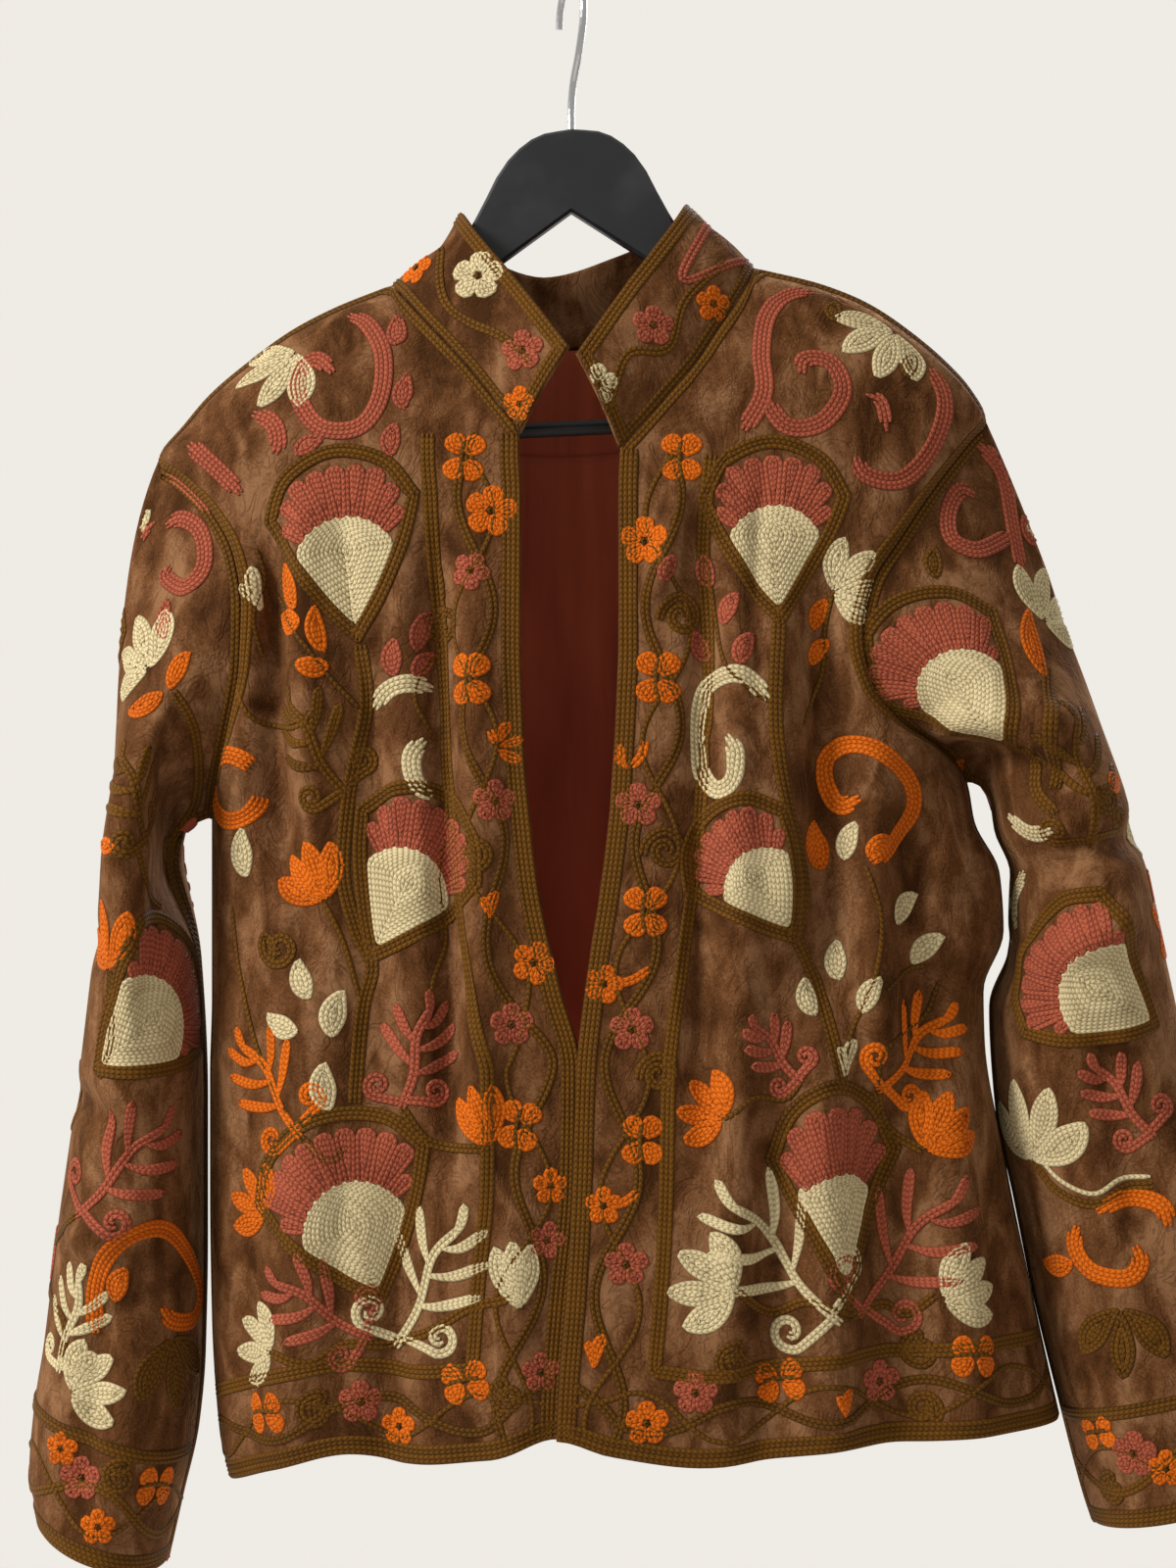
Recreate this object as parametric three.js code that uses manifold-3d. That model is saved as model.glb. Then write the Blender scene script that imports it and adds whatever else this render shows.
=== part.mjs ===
// A velvet jacket on a wooden hanger, open at the front, with a stand collar and long sleeves.
// Millimetres. +Z is up, +X is the viewer's right and -Y is the front of the jacket.
// The origin is the inside of the hook's bend, where a rod or a peg carries the hanger.
import * as THREE from "three";
import { mergeVertices } from "three/addons/utils/BufferGeometryUtils.js";
import Module from "manifold-3d";

const wasm = await Module();
wasm.setup();

// Driving sizes of the jacket
const WALL = 2; // embroidered velvet
const LINING_WALL = 1;
const SEAM_GAP = 0.3; // pieces that are sewn together stay this far apart
const TILT = 0.047; // the hanger hangs a little higher on the right: rise for each mm of x
const HEM_Z = -757;
const UNDERARM_Z = -427;
const SHOULDER_Z = -240; // where the shoulder seams meet the armholes
const FRONT_NECK_LEFT_Z = -241; // the lower ends of the two front necklines
const FRONT_NECK_RIGHT_Z = -250;
const NECK_Z = -154; // where the shoulder seams meet the collar
const BACK_NECK_DROP = 34; // the back neckline sags this far below the neck points
const COLLAR_BULGE = 4; // how far the collar's half height stands out from its straight line

// Driving sizes of the hanger
const BOARD_THICKNESS = 10;
const BAR_RADIUS = 4;
const BAR_Z = -233;
const BAR_HALF_LENGTH = 186;
const SOCKET_CLEARANCE = 0.3;
const WIRE_RADIUS = 2;
const HOOK_RADIUS = 22; // centre line of the bend
const HOOK_TURN = THREE.MathUtils.degToRad(73); // the hook's plane against the board's
const BOARD_TOP_Z = -78;

// How finely each piece is divided
const ROWS_BELOW = 15; // hem to underarm
const ROWS_ABOVE = 12; // underarm to shoulder seam
const NECK_CELLS = 5; // along one front neckline
const SHOULDER_CELLS = 10; // along one shoulder seam
const BACK_NECK_CELLS = 9;
const COLLAR_ROWS = 4;
const SLEEVE_CAP_ROWS = 6;
const SLEEVE_ROWS = 17;

// Outline of each front by height. edge: the front edge, then the neckline. side: the side seam, then
// the armhole, then the shoulder seam. The depths are how far each of the two stands in front of y = 0.
const FRONT_LEFT = [
  { z: -757, edge: 9, edgeDepth: 64, side: 177, sideDepth: 0 },
  { z: -735, edge: 9, edgeDepth: 65, side: 182, sideDepth: 0 },
  { z: -680, edge: 3, edgeDepth: 65, side: 186, sideDepth: 0 },
  { z: -620, edge: -4, edgeDepth: 65, side: 187, sideDepth: 0 },
  { z: -560, edge: -5, edgeDepth: 64, side: 187, sideDepth: 0 },
  { z: -520, edge: 5, edgeDepth: 63, side: 186, sideDepth: 0 },
  { z: -470, edge: 16, edgeDepth: 61, side: 186, sideDepth: 0 },
  { z: -427, edge: 21, edgeDepth: 59, side: 186, sideDepth: 0 },
  { z: -405, edge: 23, edgeDepth: 58, side: 181, sideDepth: 18 },
  { z: -380, edge: 24, edgeDepth: 57, side: 174, sideDepth: 31 },
  { z: -350, edge: 25, edgeDepth: 55, side: 168, sideDepth: 38 },
  { z: -320, edge: 25, edgeDepth: 53, side: 167, sideDepth: 40 },
  { z: -295, edge: 25, edgeDepth: 51, side: 171, sideDepth: 36 },
  { z: -270, edge: 25, edgeDepth: 49, side: 184, sideDepth: 25 },
  { z: -252, edge: 26, edgeDepth: 48, side: 201, sideDepth: 11 },
  { z: -240, edge: 26, edgeDepth: 47, side: 215, sideDepth: 0 },
  { z: -222, edge: 38, edgeDepth: 41, side: 201, sideDepth: 0 },
  { z: -207, edge: 49, edgeDepth: 36, side: 188, sideDepth: 0 },
  { z: -190, edge: 63, edgeDepth: 29, side: 167, sideDepth: 0 },
  { z: -175, edge: 76, edgeDepth: 21, side: 145, sideDepth: 0 },
  { z: -164, edge: 85, edgeDepth: 14, side: 122, sideDepth: 0 },
  { z: -154, edge: 93, edgeDepth: 0, side: 93.5, sideDepth: 0 },
];
const FRONT_RIGHT = [
  { z: -757, edge: -7, edgeDepth: 70, side: 253, sideDepth: 0 },
  { z: -735, edge: -6, edgeDepth: 71, side: 248, sideDepth: 0 },
  { z: -680, edge: -2, edgeDepth: 71, side: 236, sideDepth: 0 },
  { z: -620, edge: 1, edgeDepth: 71, side: 224, sideDepth: 0 },
  { z: -560, edge: 3, edgeDepth: 70, side: 214, sideDepth: 0 },
  { z: -535, edge: 5.4, edgeDepth: 69, side: 213.5, sideDepth: 0 },
  { z: -505, edge: 9.4, edgeDepth: 67.2, side: 224, sideDepth: 0 },
  { z: -475, edge: 14.2, edgeDepth: 65.2, side: 222, sideDepth: 0 },
  { z: -448, edge: 17.8, edgeDepth: 63.5, side: 209, sideDepth: 0 },
  { z: -427, edge: 20, edgeDepth: 62, side: 205, sideDepth: 0 },
  { z: -410, edge: 21, edgeDepth: 61, side: 190, sideDepth: 18 },
  { z: -395, edge: 22, edgeDepth: 60, side: 168, sideDepth: 33 },
  { z: -375, edge: 23, edgeDepth: 58, side: 152, sideDepth: 44 },
  { z: -350, edge: 24, edgeDepth: 56, side: 147, sideDepth: 48 },
  { z: -325, edge: 24, edgeDepth: 54, side: 152, sideDepth: 45 },
  { z: -300, edge: 24, edgeDepth: 52, side: 168, sideDepth: 36 },
  { z: -275, edge: 24, edgeDepth: 50, side: 186, sideDepth: 24 },
  { z: -250, edge: 25, edgeDepth: 48, side: 207, sideDepth: 7 },
  { z: -240, edge: 34, edgeDepth: 46, side: 216, sideDepth: 0 },
  { z: -222, edge: 50, edgeDepth: 42, side: 207, sideDepth: 0 },
  { z: -207, edge: 63, edgeDepth: 36, side: 194, sideDepth: 0 },
  { z: -190, edge: 74, edgeDepth: 28, side: 175, sideDepth: 0 },
  { z: -175, edge: 84, edgeDepth: 20, side: 154, sideDepth: 0 },
  { z: -164, edge: 90, edgeDepth: 13, side: 130, sideDepth: 0 },
  { z: -154, edge: 95, edgeDepth: 0, side: 95.5, sideDepth: 0 },
];
// The back by height: how far its middle stands behind y = 0, and its armhole edges' depth.
const BACK = [
  { z: -757, middle: 56, armhole: 0 },
  { z: -620, middle: 54, armhole: 0 },
  { z: -520, middle: 51, armhole: 0 },
  { z: -427, middle: 47, armhole: 0 },
  { z: -395, middle: 46, armhole: 26 },
  { z: -350, middle: 44, armhole: 38 },
  { z: -300, middle: 41, armhole: 32 },
  { z: -265, middle: 38, armhole: 17 },
  { z: -240, middle: 36, armhole: 0 },
  { z: -207, middle: 33, armhole: 0 },
  { z: -175, middle: 24, armhole: 0 },
  { z: -154, middle: 0.5, armhole: 0 },
];
// How square the horizontal sections are, by height: 2 is an ellipse.
const SQUARENESS = [
  { z: -757, front: 2.5, back: 2.6 },
  { z: -427, front: 2.6, back: 2.8 },
  { z: -350, front: 2.4, back: 2.6 },
  { z: -240, front: 2.2, back: 2.4 },
  { z: -154, front: 2.0, back: 2.0 },
];
// The front hem's rise above HEM_Z, by x.
const FRONT_HEM = [
  { x: -177, rise: -11 },
  { x: -149, rise: 0 },
  { x: -114, rise: 8 },
  { x: -83, rise: 2 },
  { x: -42, rise: 4 },
  { x: -8, rise: 13 },
  { x: 20, rise: 4 },
  { x: 70, rise: -4 },
  { x: 146, rise: 1 },
  { x: 253, rise: 0 },
];
const BACK_HEM = [
  { x: -177, rise: -11 },
  { x: -110, rise: 3 },
  { x: -30, rise: -3 },
  { x: 60, rise: 2 },
  { x: 150, rise: -4 },
  { x: 253, rise: 0 },
];
const HEM_REACH = 150; // the hem's rises fade out over this height

// Sleeve rings from the underarm to the cuff. outer and inner are x at the two sides, lean is the
// ring's rise for each mm of x, and dip its rise for each mm of y.
const SLEEVE_LEFT = [
  { z: -452, outer: -242, inner: -203, middleY: 2, halfDepth: 62, lean: -0.06, dip: 0 },
  { z: -500, outer: -248, inner: -194, middleY: 4, halfDepth: 62, lean: -0.07, dip: 0 },
  { z: -570, outer: -257, inner: -191, middleY: 5, halfDepth: 60, lean: -0.08, dip: 0.02 },
  { z: -640, outer: -267, inner: -191, middleY: 5, halfDepth: 58, lean: -0.1, dip: 0.04 },
  { z: -700, outer: -274, inner: -192, middleY: 4, halfDepth: 54, lean: -0.14, dip: 0.06 },
  { z: -735, outer: -279, inner: -195, middleY: 2, halfDepth: 51, lean: -0.18, dip: 0.08 },
  { z: -768, outer: -281, inner: -203, middleY: 0, halfDepth: 48, lean: -0.28, dip: 0.09 },
  { z: -797, outer: -276, inner: -210, middleY: -1, halfDepth: 45, lean: -0.4, dip: 0.1 },
];
const SLEEVE_RIGHT = [
  { z: -446, outer: 287, inner: 224, middleY: -6, halfDepth: 62, lean: 0.16, dip: 0 },
  { z: -470, outer: 294, inner: 232, middleY: -4, halfDepth: 60, lean: 0.2, dip: 0 },
  { z: -500, outer: 301, inner: 232, middleY: -1, halfDepth: 60, lean: 0.2, dip: 0 },
  { z: -535, outer: 309, inner: 219, middleY: 2, halfDepth: 61, lean: 0.2, dip: 0 },
  { z: -585, outer: 320, inner: 222, middleY: 3, halfDepth: 59, lean: 0.2, dip: 0 },
  { z: -636, outer: 331, inner: 232, middleY: 3, halfDepth: 56, lean: 0.2, dip: 0 },
  { z: -687, outer: 340, inner: 242, middleY: 2, halfDepth: 53, lean: 0.2, dip: 0 },
  { z: -738, outer: 347, inner: 254, middleY: 1, halfDepth: 50, lean: 0.2, dip: 0 },
  { z: -790, outer: 352, inner: 267, middleY: 0, halfDepth: 46, lean: 0.2, dip: -0.04 },
  { z: -806, outer: 353, inner: 272, middleY: 0, halfDepth: 45, lean: 0.2, dip: -0.04 },
];

// The collar's upper edge, by the share of the neckline from the left front round to the right front.
const COLLAR_TOP = [
  { share: 0, x: -0.8, y: -54, z: -198 },
  { share: 0.13, x: -24, y: -38, z: -165 },
  { share: 0.27, x: -52, y: -16, z: -127 },
  { share: 0.32, x: -58, y: 5, z: -117 },
  { share: 0.37, x: -51, y: 25, z: -132 },
  { share: 0.46, x: -14, y: 40, z: -147 },
  { share: 0.56, x: 24, y: 39, z: -138 },
  { share: 0.64, x: 51, y: 26, z: -127 },
  { share: 0.69, x: 60, y: 6, z: -118 },
  { share: 0.74, x: 54, y: -16, z: -129 },
  { share: 0.87, x: 27, y: -38, z: -167 },
  { share: 1, x: 3, y: -56, z: -202 },
];

// The largest folds, each a straight soft ridge (height above 0) or trough from (x0, z0) to (x1, z1).
const FRONT_FOLDS = [
  { x0: -66, z0: -250, x1: -60, z1: -640, width: 9, height: -8 },
  { x0: -50, z0: -260, x1: -46, z1: -700, width: 11, height: 5 },
  { x0: -154, z0: -270, x1: -148, z1: -480, width: 10, height: -10 },
  { x0: -136, z0: -250, x1: -134, z1: -440, width: 11, height: 5 },
  { x0: -100, z0: -330, x1: -100, z1: -590, width: 14, height: -5 },
  { x0: -128, z0: -480, x1: -142, z1: -790, width: 19, height: 7 },
  { x0: -84, z0: -590, x1: -92, z1: -790, width: 15, height: -7 },
  { x0: -26, z0: -570, x1: -30, z1: -790, width: 13, height: 4 },
  { x0: 70, z0: -262, x1: 64, z1: -640, width: 9, height: -6 },
  { x0: 84, z0: -262, x1: 80, z1: -790, width: 12, height: 6 },
  { x0: 56, z0: -262, x1: 40, z1: -340, width: 8, height: 5 },
  { x0: 108, z0: -310, x1: 108, z1: -520, width: 14, height: 5 },
  { x0: 126, z0: -290, x1: 130, z1: -560, width: 15, height: -9 },
  { x0: 150, z0: -380, x1: 154, z1: -600, width: 14, height: 5 },
  { x0: 172, z0: -410, x1: 180, z1: -610, width: 13, height: -6 },
  { x0: 188, z0: -520, x1: 206, z1: -790, width: 15, height: 6 },
  { x0: 158, z0: -560, x1: 162, z1: -790, width: 15, height: -7 },
  { x0: 126, z0: -520, x1: 130, z1: -790, width: 15, height: 6 },
  { x0: 98, z0: -570, x1: 98, z1: -790, width: 13, height: -5 },
];
const BACK_FOLDS = [
  { x0: -140, z0: -290, x1: -138, z1: -520, width: 11, height: -8 },
  { x0: -112, z0: -260, x1: -116, z1: -700, width: 13, height: 5 },
  { x0: -72, z0: -330, x1: -80, z1: -790, width: 15, height: -6 },
  { x0: -34, z0: -420, x1: -38, z1: -790, width: 15, height: 6 },
  { x0: 4, z0: -260, x1: 8, z1: -620, width: 14, height: -5 },
  { x0: 46, z0: -430, x1: 52, z1: -790, width: 16, height: 6 },
  { x0: 92, z0: -350, x1: 96, z1: -790, width: 14, height: -7 },
  { x0: 128, z0: -300, x1: 140, z1: -790, width: 14, height: 6 },
  { x0: 158, z0: -420, x1: 184, z1: -790, width: 14, height: -6 },
];
const SLEEVE_FOLDS = [
  { x0: -196, z0: -330, x1: -214, z1: -560, width: 9, height: -6, front: true },
  { x0: -214, z0: -300, x1: -232, z1: -480, width: 9, height: 4, front: true },
  { x0: -262, z0: -560, x1: -205, z1: -600, width: 9, height: -5, front: true },
  { x0: -258, z0: -640, x1: -210, z1: -620, width: 10, height: 4, front: true },
  { x0: -235, z0: -640, x1: -250, z1: -790, width: 11, height: -5, front: true },
  { x0: -215, z0: -330, x1: -235, z1: -600, width: 11, height: -6, front: false },
  { x0: -240, z0: -600, x1: -248, z1: -790, width: 12, height: 5, front: false },
  { x0: 186, z0: -410, x1: 262, z1: -430, width: 9, height: -8, front: true },
  { x0: 180, z0: -392, x1: 262, z1: -400, width: 10, height: 6, front: true },
  { x0: 236, z0: -470, x1: 300, z1: -455, width: 9, height: -7, front: true },
  { x0: 226, z0: -530, x1: 290, z1: -490, width: 11, height: 5, front: true },
  { x0: 262, z0: -540, x1: 290, z1: -680, width: 11, height: -5, front: true },
  { x0: 300, z0: -560, x1: 325, z1: -790, width: 11, height: 4, front: true },
  { x0: 240, z0: -320, x1: 286, z1: -520, width: 12, height: -6, front: false },
  { x0: 260, z0: -560, x1: 300, z1: -790, width: 12, height: 5, front: false },
];
const SEAM_CALM = 20; // folds fade to nothing over this distance from a seam

const clamp = THREE.MathUtils.clamp;
const lerp = THREE.MathUtils.lerp;
const smooth = (t) => THREE.MathUtils.smoothstep(t, 0, 1);

/** A smooth curve, with no overshoot, through one column of a table ordered by the column `by`. */
function column(rows, by, name) {
  const at = rows.map((row) => row[by]);
  const value = rows.map((row) => row[name]);
  const last = rows.length - 1;
  const rise = at.slice(1).map((_, i) => (value[i + 1] - value[i]) / (at[i + 1] - at[i]));
  const slope = at.map((_, i) => {
    const before = rise[Math.max(i - 1, 0)];
    const after = rise[Math.min(i, last - 1)];
    return before * after > 0 ? (2 * before * after) / (before + after) : 0;
  });
  return (t) => {
    const x = clamp(t, at[0], at[last]);
    let i = 0;
    while (i < last - 1 && x > at[i + 1]) i += 1;
    const span = at[i + 1] - at[i];
    const s = (x - at[i]) / span;
    return (
      value[i] * (1 + 2 * s) * (1 - s) ** 2 +
      slope[i] * span * s * (1 - s) ** 2 +
      value[i + 1] * s * s * (3 - 2 * s) +
      slope[i + 1] * span * s * s * (s - 1)
    );
  };
}

/** Points at even steps along a polyline, ends included. */
function evenly(points, cells) {
  const length = [0];
  for (let i = 1; i < points.length; i += 1)
    length.push(length[i - 1] + points[i].distanceTo(points[i - 1]));
  const total = length.at(-1);
  let k = 1;
  return Array.from({ length: cells + 1 }, (_, i) => {
    const want = (total * i) / cells;
    while (k < points.length - 1 && length[k] < want) k += 1;
    const share = (want - length[k - 1]) / (length[k] - length[k - 1] || 1);
    return points[k - 1].clone().lerp(points[k], clamp(share, 0, 1));
  });
}

/** The sum of a table of folds at (x, z). */
function foldHeight(folds, x, z) {
  let sum = 0;
  for (const f of folds) {
    const dx = f.x1 - f.x0;
    const dz = f.z1 - f.z0;
    const along = ((x - f.x0) * dx + (z - f.z0) * dz) / (dx * dx + dz * dz);
    const away = Math.abs((x - f.x0) * dz - (z - f.z0) * dx) / Math.hypot(dx, dz);
    const ends = smooth(clamp(along * 4, 0, 1)) * smooth(clamp((1 - along) * 4, 0, 1));
    sum += f.height * ends * Math.exp(-((away / f.width) ** 2));
  }
  return sum;
}

const frontSquareness = column(SQUARENESS, "z", "front");
const backSquareness = column(SQUARENESS, "z", "back");
const backMiddle = column(BACK, "z", "middle");
const backArmhole = column(BACK, "z", "armhole");
const frontHem = column(FRONT_HEM, "x", "rise");
const backHem = column(BACK_HEM, "x", "rise");

/** One front's outline and depth as functions of height, for the side whose x has this sign. */
function frontOutline(rows, sign, neckZ) {
  const edge = column(rows, "z", "edge");
  const side = column(rows, "z", "side");
  const edgeDepth = column(rows, "z", "edgeDepth");
  const sideDepth = column(rows, "z", "sideDepth");
  return {
    neckZ,
    edgeX: (z) => sign * edge(z),
    sideX: (z) => sign * side(z),
    depth(x, z) {
      const reach = (sign * x - edge(z)) / Math.max(side(z) - edge(z), 0.1);
      const n = frontSquareness(z);
      const fullness = (1 - clamp(reach, 0, 1) ** n) ** (1 / n);
      const rim = sideDepth(z);
      return -(rim + (edgeDepth(z) - rim) * fullness);
    },
  };
}
const leftOutline = frontOutline(FRONT_LEFT, -1, FRONT_NECK_LEFT_Z);
const rightOutline = frontOutline(FRONT_RIGHT, 1, FRONT_NECK_RIGHT_Z);

/** The back's depth at (x, z), between the two side outlines. */
function backDepth(x, z) {
  const left = leftOutline.sideX(z);
  const right = rightOutline.sideX(z);
  const reach = (2 * x - left - right) / Math.max(right - left, 0.1);
  const n = backSquareness(z);
  const fullness = (1 - clamp(Math.abs(reach), 0, 1) ** n) ** (1 / n);
  const rim = backArmhole(z);
  return rim + (backMiddle(z) - rim) * fullness;
}

/** Heights of the rows at a panel's side: hem to underarm, then underarm to shoulder point. */
const SIDE_HEIGHTS = [
  ...Array.from({ length: ROWS_BELOW }, (_, i) => lerp(HEM_Z, UNDERARM_Z, i / ROWS_BELOW)),
  ...Array.from({ length: ROWS_ABOVE + 1 }, (_, i) => lerp(UNDERARM_Z, SHOULDER_Z, i / ROWS_ABOVE)),
];

/** How far a row has taken the shape of the panel's top edge: 0 below the underarm, 1 at the top. */
function topShare(row) {
  const t = clamp((row - ROWS_BELOW) / ROWS_ABOVE, 0, 1);
  return 1 - (1 - t * t) ** 0.75;
}

/** The top edge's height above SHOULDER_Z at x: up the shoulder seam, and down the neckline. */
function topRise(outline, sign, x) {
  const onShoulder = sign * x > sign * outline.edgeX(NECK_Z);
  let low = onShoulder ? SHOULDER_Z : outline.neckZ;
  let high = NECK_Z;
  for (let i = 0; i < 40; i += 1) {
    const z = (low + high) / 2;
    const line = sign * (onShoulder ? outline.sideX(z) : outline.edgeX(z));
    const below = onShoulder ? sign * x < line : sign * x > line;
    if (below) low = z;
    else high = z;
  }
  return low - SHOULDER_Z;
}

/** The grid of a front's outer face: rows from hem to top edge, columns from front edge to side. */
function frontGrid(outline, sign) {
  const across = (edgeZ, sideZ, share) => lerp(outline.edgeX(edgeZ), outline.sideX(sideZ), share);
  const topX = (share) => across(outline.neckZ, SHOULDER_Z, share);
  const neckShare = (outline.edgeX(NECK_Z) - topX(0)) / (topX(1) - topX(0));
  return SIDE_HEIGHTS.map((height, row) => {
    const edgeZ = height + topShare(row) * (outline.neckZ - SHOULDER_Z);
    const at = (share) => {
      const x = across(edgeZ, height, share);
      const z0 = height + topShare(row) * topRise(outline, sign, topX(share));
      const calm = smooth(clamp(1 - (z0 - HEM_Z) / HEM_REACH, 0, 1));
      const z = z0 + frontHem(across(HEM_Z, HEM_Z, share)) * calm;
      return new THREE.Vector3(x, outline.depth(x, z0), z);
    };
    const line = (from, to) =>
      Array.from({ length: 81 }, (_, i) => at(lerp(from, to, i / 80)));
    return [
      ...evenly(line(0, neckShare), NECK_CELLS).slice(0, -1),
      ...evenly(line(neckShare, 1), SHOULDER_CELLS),
    ];
  });
}

/** The grid of the back's outer face: rows from hem to top edge, columns from left to right. */
function backGrid() {
  const neckX = [leftOutline.edgeX(NECK_Z), rightOutline.edgeX(NECK_Z)];
  const endX = [leftOutline.sideX(SHOULDER_Z), rightOutline.sideX(SHOULDER_Z)];
  const shares = neckX.map((x) => (x - endX[0]) / (endX[1] - endX[0]));
  const rise = (x) => {
    const middle = (2 * x - neckX[0] - neckX[1]) / (neckX[1] - neckX[0]);
    if (Math.abs(middle) < 1)
      return NECK_Z - SHOULDER_Z - BACK_NECK_DROP * (1 - Math.abs(middle) ** 2.4);
    return x < 0 ? topRise(leftOutline, -1, x) : topRise(rightOutline, 1, x);
  };
  return SIDE_HEIGHTS.map((height, row) => {
    const across = (z, share) => lerp(leftOutline.sideX(z), rightOutline.sideX(z), share);
    const at = (share) => {
      const x = across(height, share);
      const z0 = height + topShare(row) * rise(across(SHOULDER_Z, share));
      const calm = smooth(clamp(1 - (z0 - HEM_Z) / HEM_REACH, 0, 1));
      const z = z0 + backHem(across(HEM_Z, share)) * calm;
      return new THREE.Vector3(x, backDepth(x, z0), z);
    };
    const line = (from, to) =>
      Array.from({ length: 121 }, (_, i) => at(lerp(from, to, i / 120)));
    return [
      ...evenly(line(0, shares[0]), SHOULDER_CELLS).slice(0, -1),
      ...evenly(line(shares[0], shares[1]), BACK_NECK_CELLS).slice(0, -1),
      ...evenly(line(shares[1], 1), SHOULDER_CELLS),
    ];
  });
}

/** One ring of a sleeve, from its outer side round by the front, as even points. */
function sleeveRing(table, z, cells) {
  const value = Object.fromEntries(
    ["outer", "inner", "middleY", "halfDepth", "lean", "dip"].map((name) => [
      name,
      column(table, "z", name)(z),
    ]),
  );
  const middle = (value.outer + value.inner) / 2;
  const half = (value.outer - value.inner) / 2;
  const ring = Array.from({ length: 181 }, (_, i) => {
    const angle = (i / 180) * 2 * Math.PI;
    const x = half * Math.cos(angle);
    const y = -value.halfDepth * Math.sin(angle);
    return new THREE.Vector3(middle + x, value.middleY + y, z + value.lean * x + value.dip * y);
  });
  return evenly(ring, cells).slice(0, -1);
}

/** The grid of a sleeve: rows from the armhole to the cuff, columns round it from the shoulder point. */
function sleeveGrid(table, loop, sign) {
  const rising = [...table].reverse();
  const first = rising.at(-1).z;
  const cuff = rising[0].z;
  const top = sleeveRing(rising, first, loop.length);
  const next = sleeveRing(rising, first - 20, loop.length);
  const rows = [];
  for (let row = 0; row < SLEEVE_CAP_ROWS; row += 1) {
    const s = row / SLEEVE_CAP_ROWS;
    rows.push(
      loop.map((start, j) => {
        const chord = top[j].distanceTo(start);
        const height = clamp((start.z - UNDERARM_Z) / (SHOULDER_Z - UNDERARM_Z), 0, 1);
        const leave = new THREE.Vector3(sign * lerp(1, 0.4, height), 0, lerp(0.25, -0.9, height));
        leave.multiplyScalar(0.9 * chord);
        const arrive = next[j].clone().sub(top[j]).normalize().multiplyScalar(chord);
        return start
          .clone()
          .multiplyScalar(1 - s * s * (3 - 2 * s))
          .addScaledVector(leave, s * (1 - s) ** 2)
          .addScaledVector(top[j], s * s * (3 - 2 * s))
          .addScaledVector(arrive, s * s * (s - 1));
      }),
    );
  }
  for (let row = 0; row <= SLEEVE_ROWS; row += 1)
    rows.push(sleeveRing(rising, lerp(first, cuff, row / SLEEVE_ROWS), loop.length));
  return rows;
}

/** The collar's grid: rows from the neckline to the upper edge, columns from left front to right. */
function collarGrid(neckline) {
  const length = [0];
  for (let i = 1; i < neckline.length; i += 1)
    length.push(length[i - 1] + neckline[i].distanceTo(neckline[i - 1]));
  const [x, y, z] = ["x", "y", "z"].map((name) => column(COLLAR_TOP, "share", name));
  return Array.from({ length: COLLAR_ROWS + 1 }, (_, row) =>
    neckline.map((foot, i) => {
      const share = length[i] / length.at(-1);
      const bulge = COLLAR_BULGE * Math.sin((Math.PI * row) / COLLAR_ROWS);
      const out = new THREE.Vector3(foot.x / 93, foot.y / 40, 0).normalize();
      const top = new THREE.Vector3(x(share), y(share), z(share));
      return foot.clone().lerp(top, row / COLLAR_ROWS).addScaledVector(out, bulge);
    }),
  );
}

/** Unit normals of a grid of points. They point to the side that `facing` gives. */
function gridNormals(grid, closed, facing) {
  const columns = grid[0].length;
  const at = (row, j) => {
    const k = closed ? (j + columns) % columns : clamp(j, 0, columns - 1);
    return grid[clamp(row, 0, grid.length - 1)][k];
  };
  return grid.map((line, row) =>
    line.map((_, j) => {
      const across = at(row, j + 1).clone().sub(at(row, j - 1));
      const along = at(row + 1, j).clone().sub(at(row - 1, j));
      return across.cross(along).normalize().multiplyScalar(facing);
    }),
  );
}

/** Moves a grid's points along its normals by a table of folds, calm near the sewn edges. */
function withFolds(grid, piece, folds) {
  const normals = gridNormals(grid, piece.closed, piece.facing);
  return grid.map((line, row) =>
    line.map((point, j) => {
      const height = folds(point) * piece.calm(grid, row, j);
      return point.clone().addScaledVector(normals[row][j], height);
    }),
  );
}

/** 0 on a sewn edge and 1 a calm distance away from it; sewn lists the edges that are seams. */
function calmNear(sewn) {
  return (grid, row, j) => {
    const point = grid[row][j];
    const edges = {
      top: grid.at(-1)[j],
      bottom: grid[0][j],
      start: grid[row][0],
      end: grid[row].at(-1),
    };
    return sewn.reduce(
      (calm, name) => calm * smooth(clamp(point.distanceTo(edges[name]) / SEAM_CALM, 0, 1)),
      1,
    );
  };
}

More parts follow.
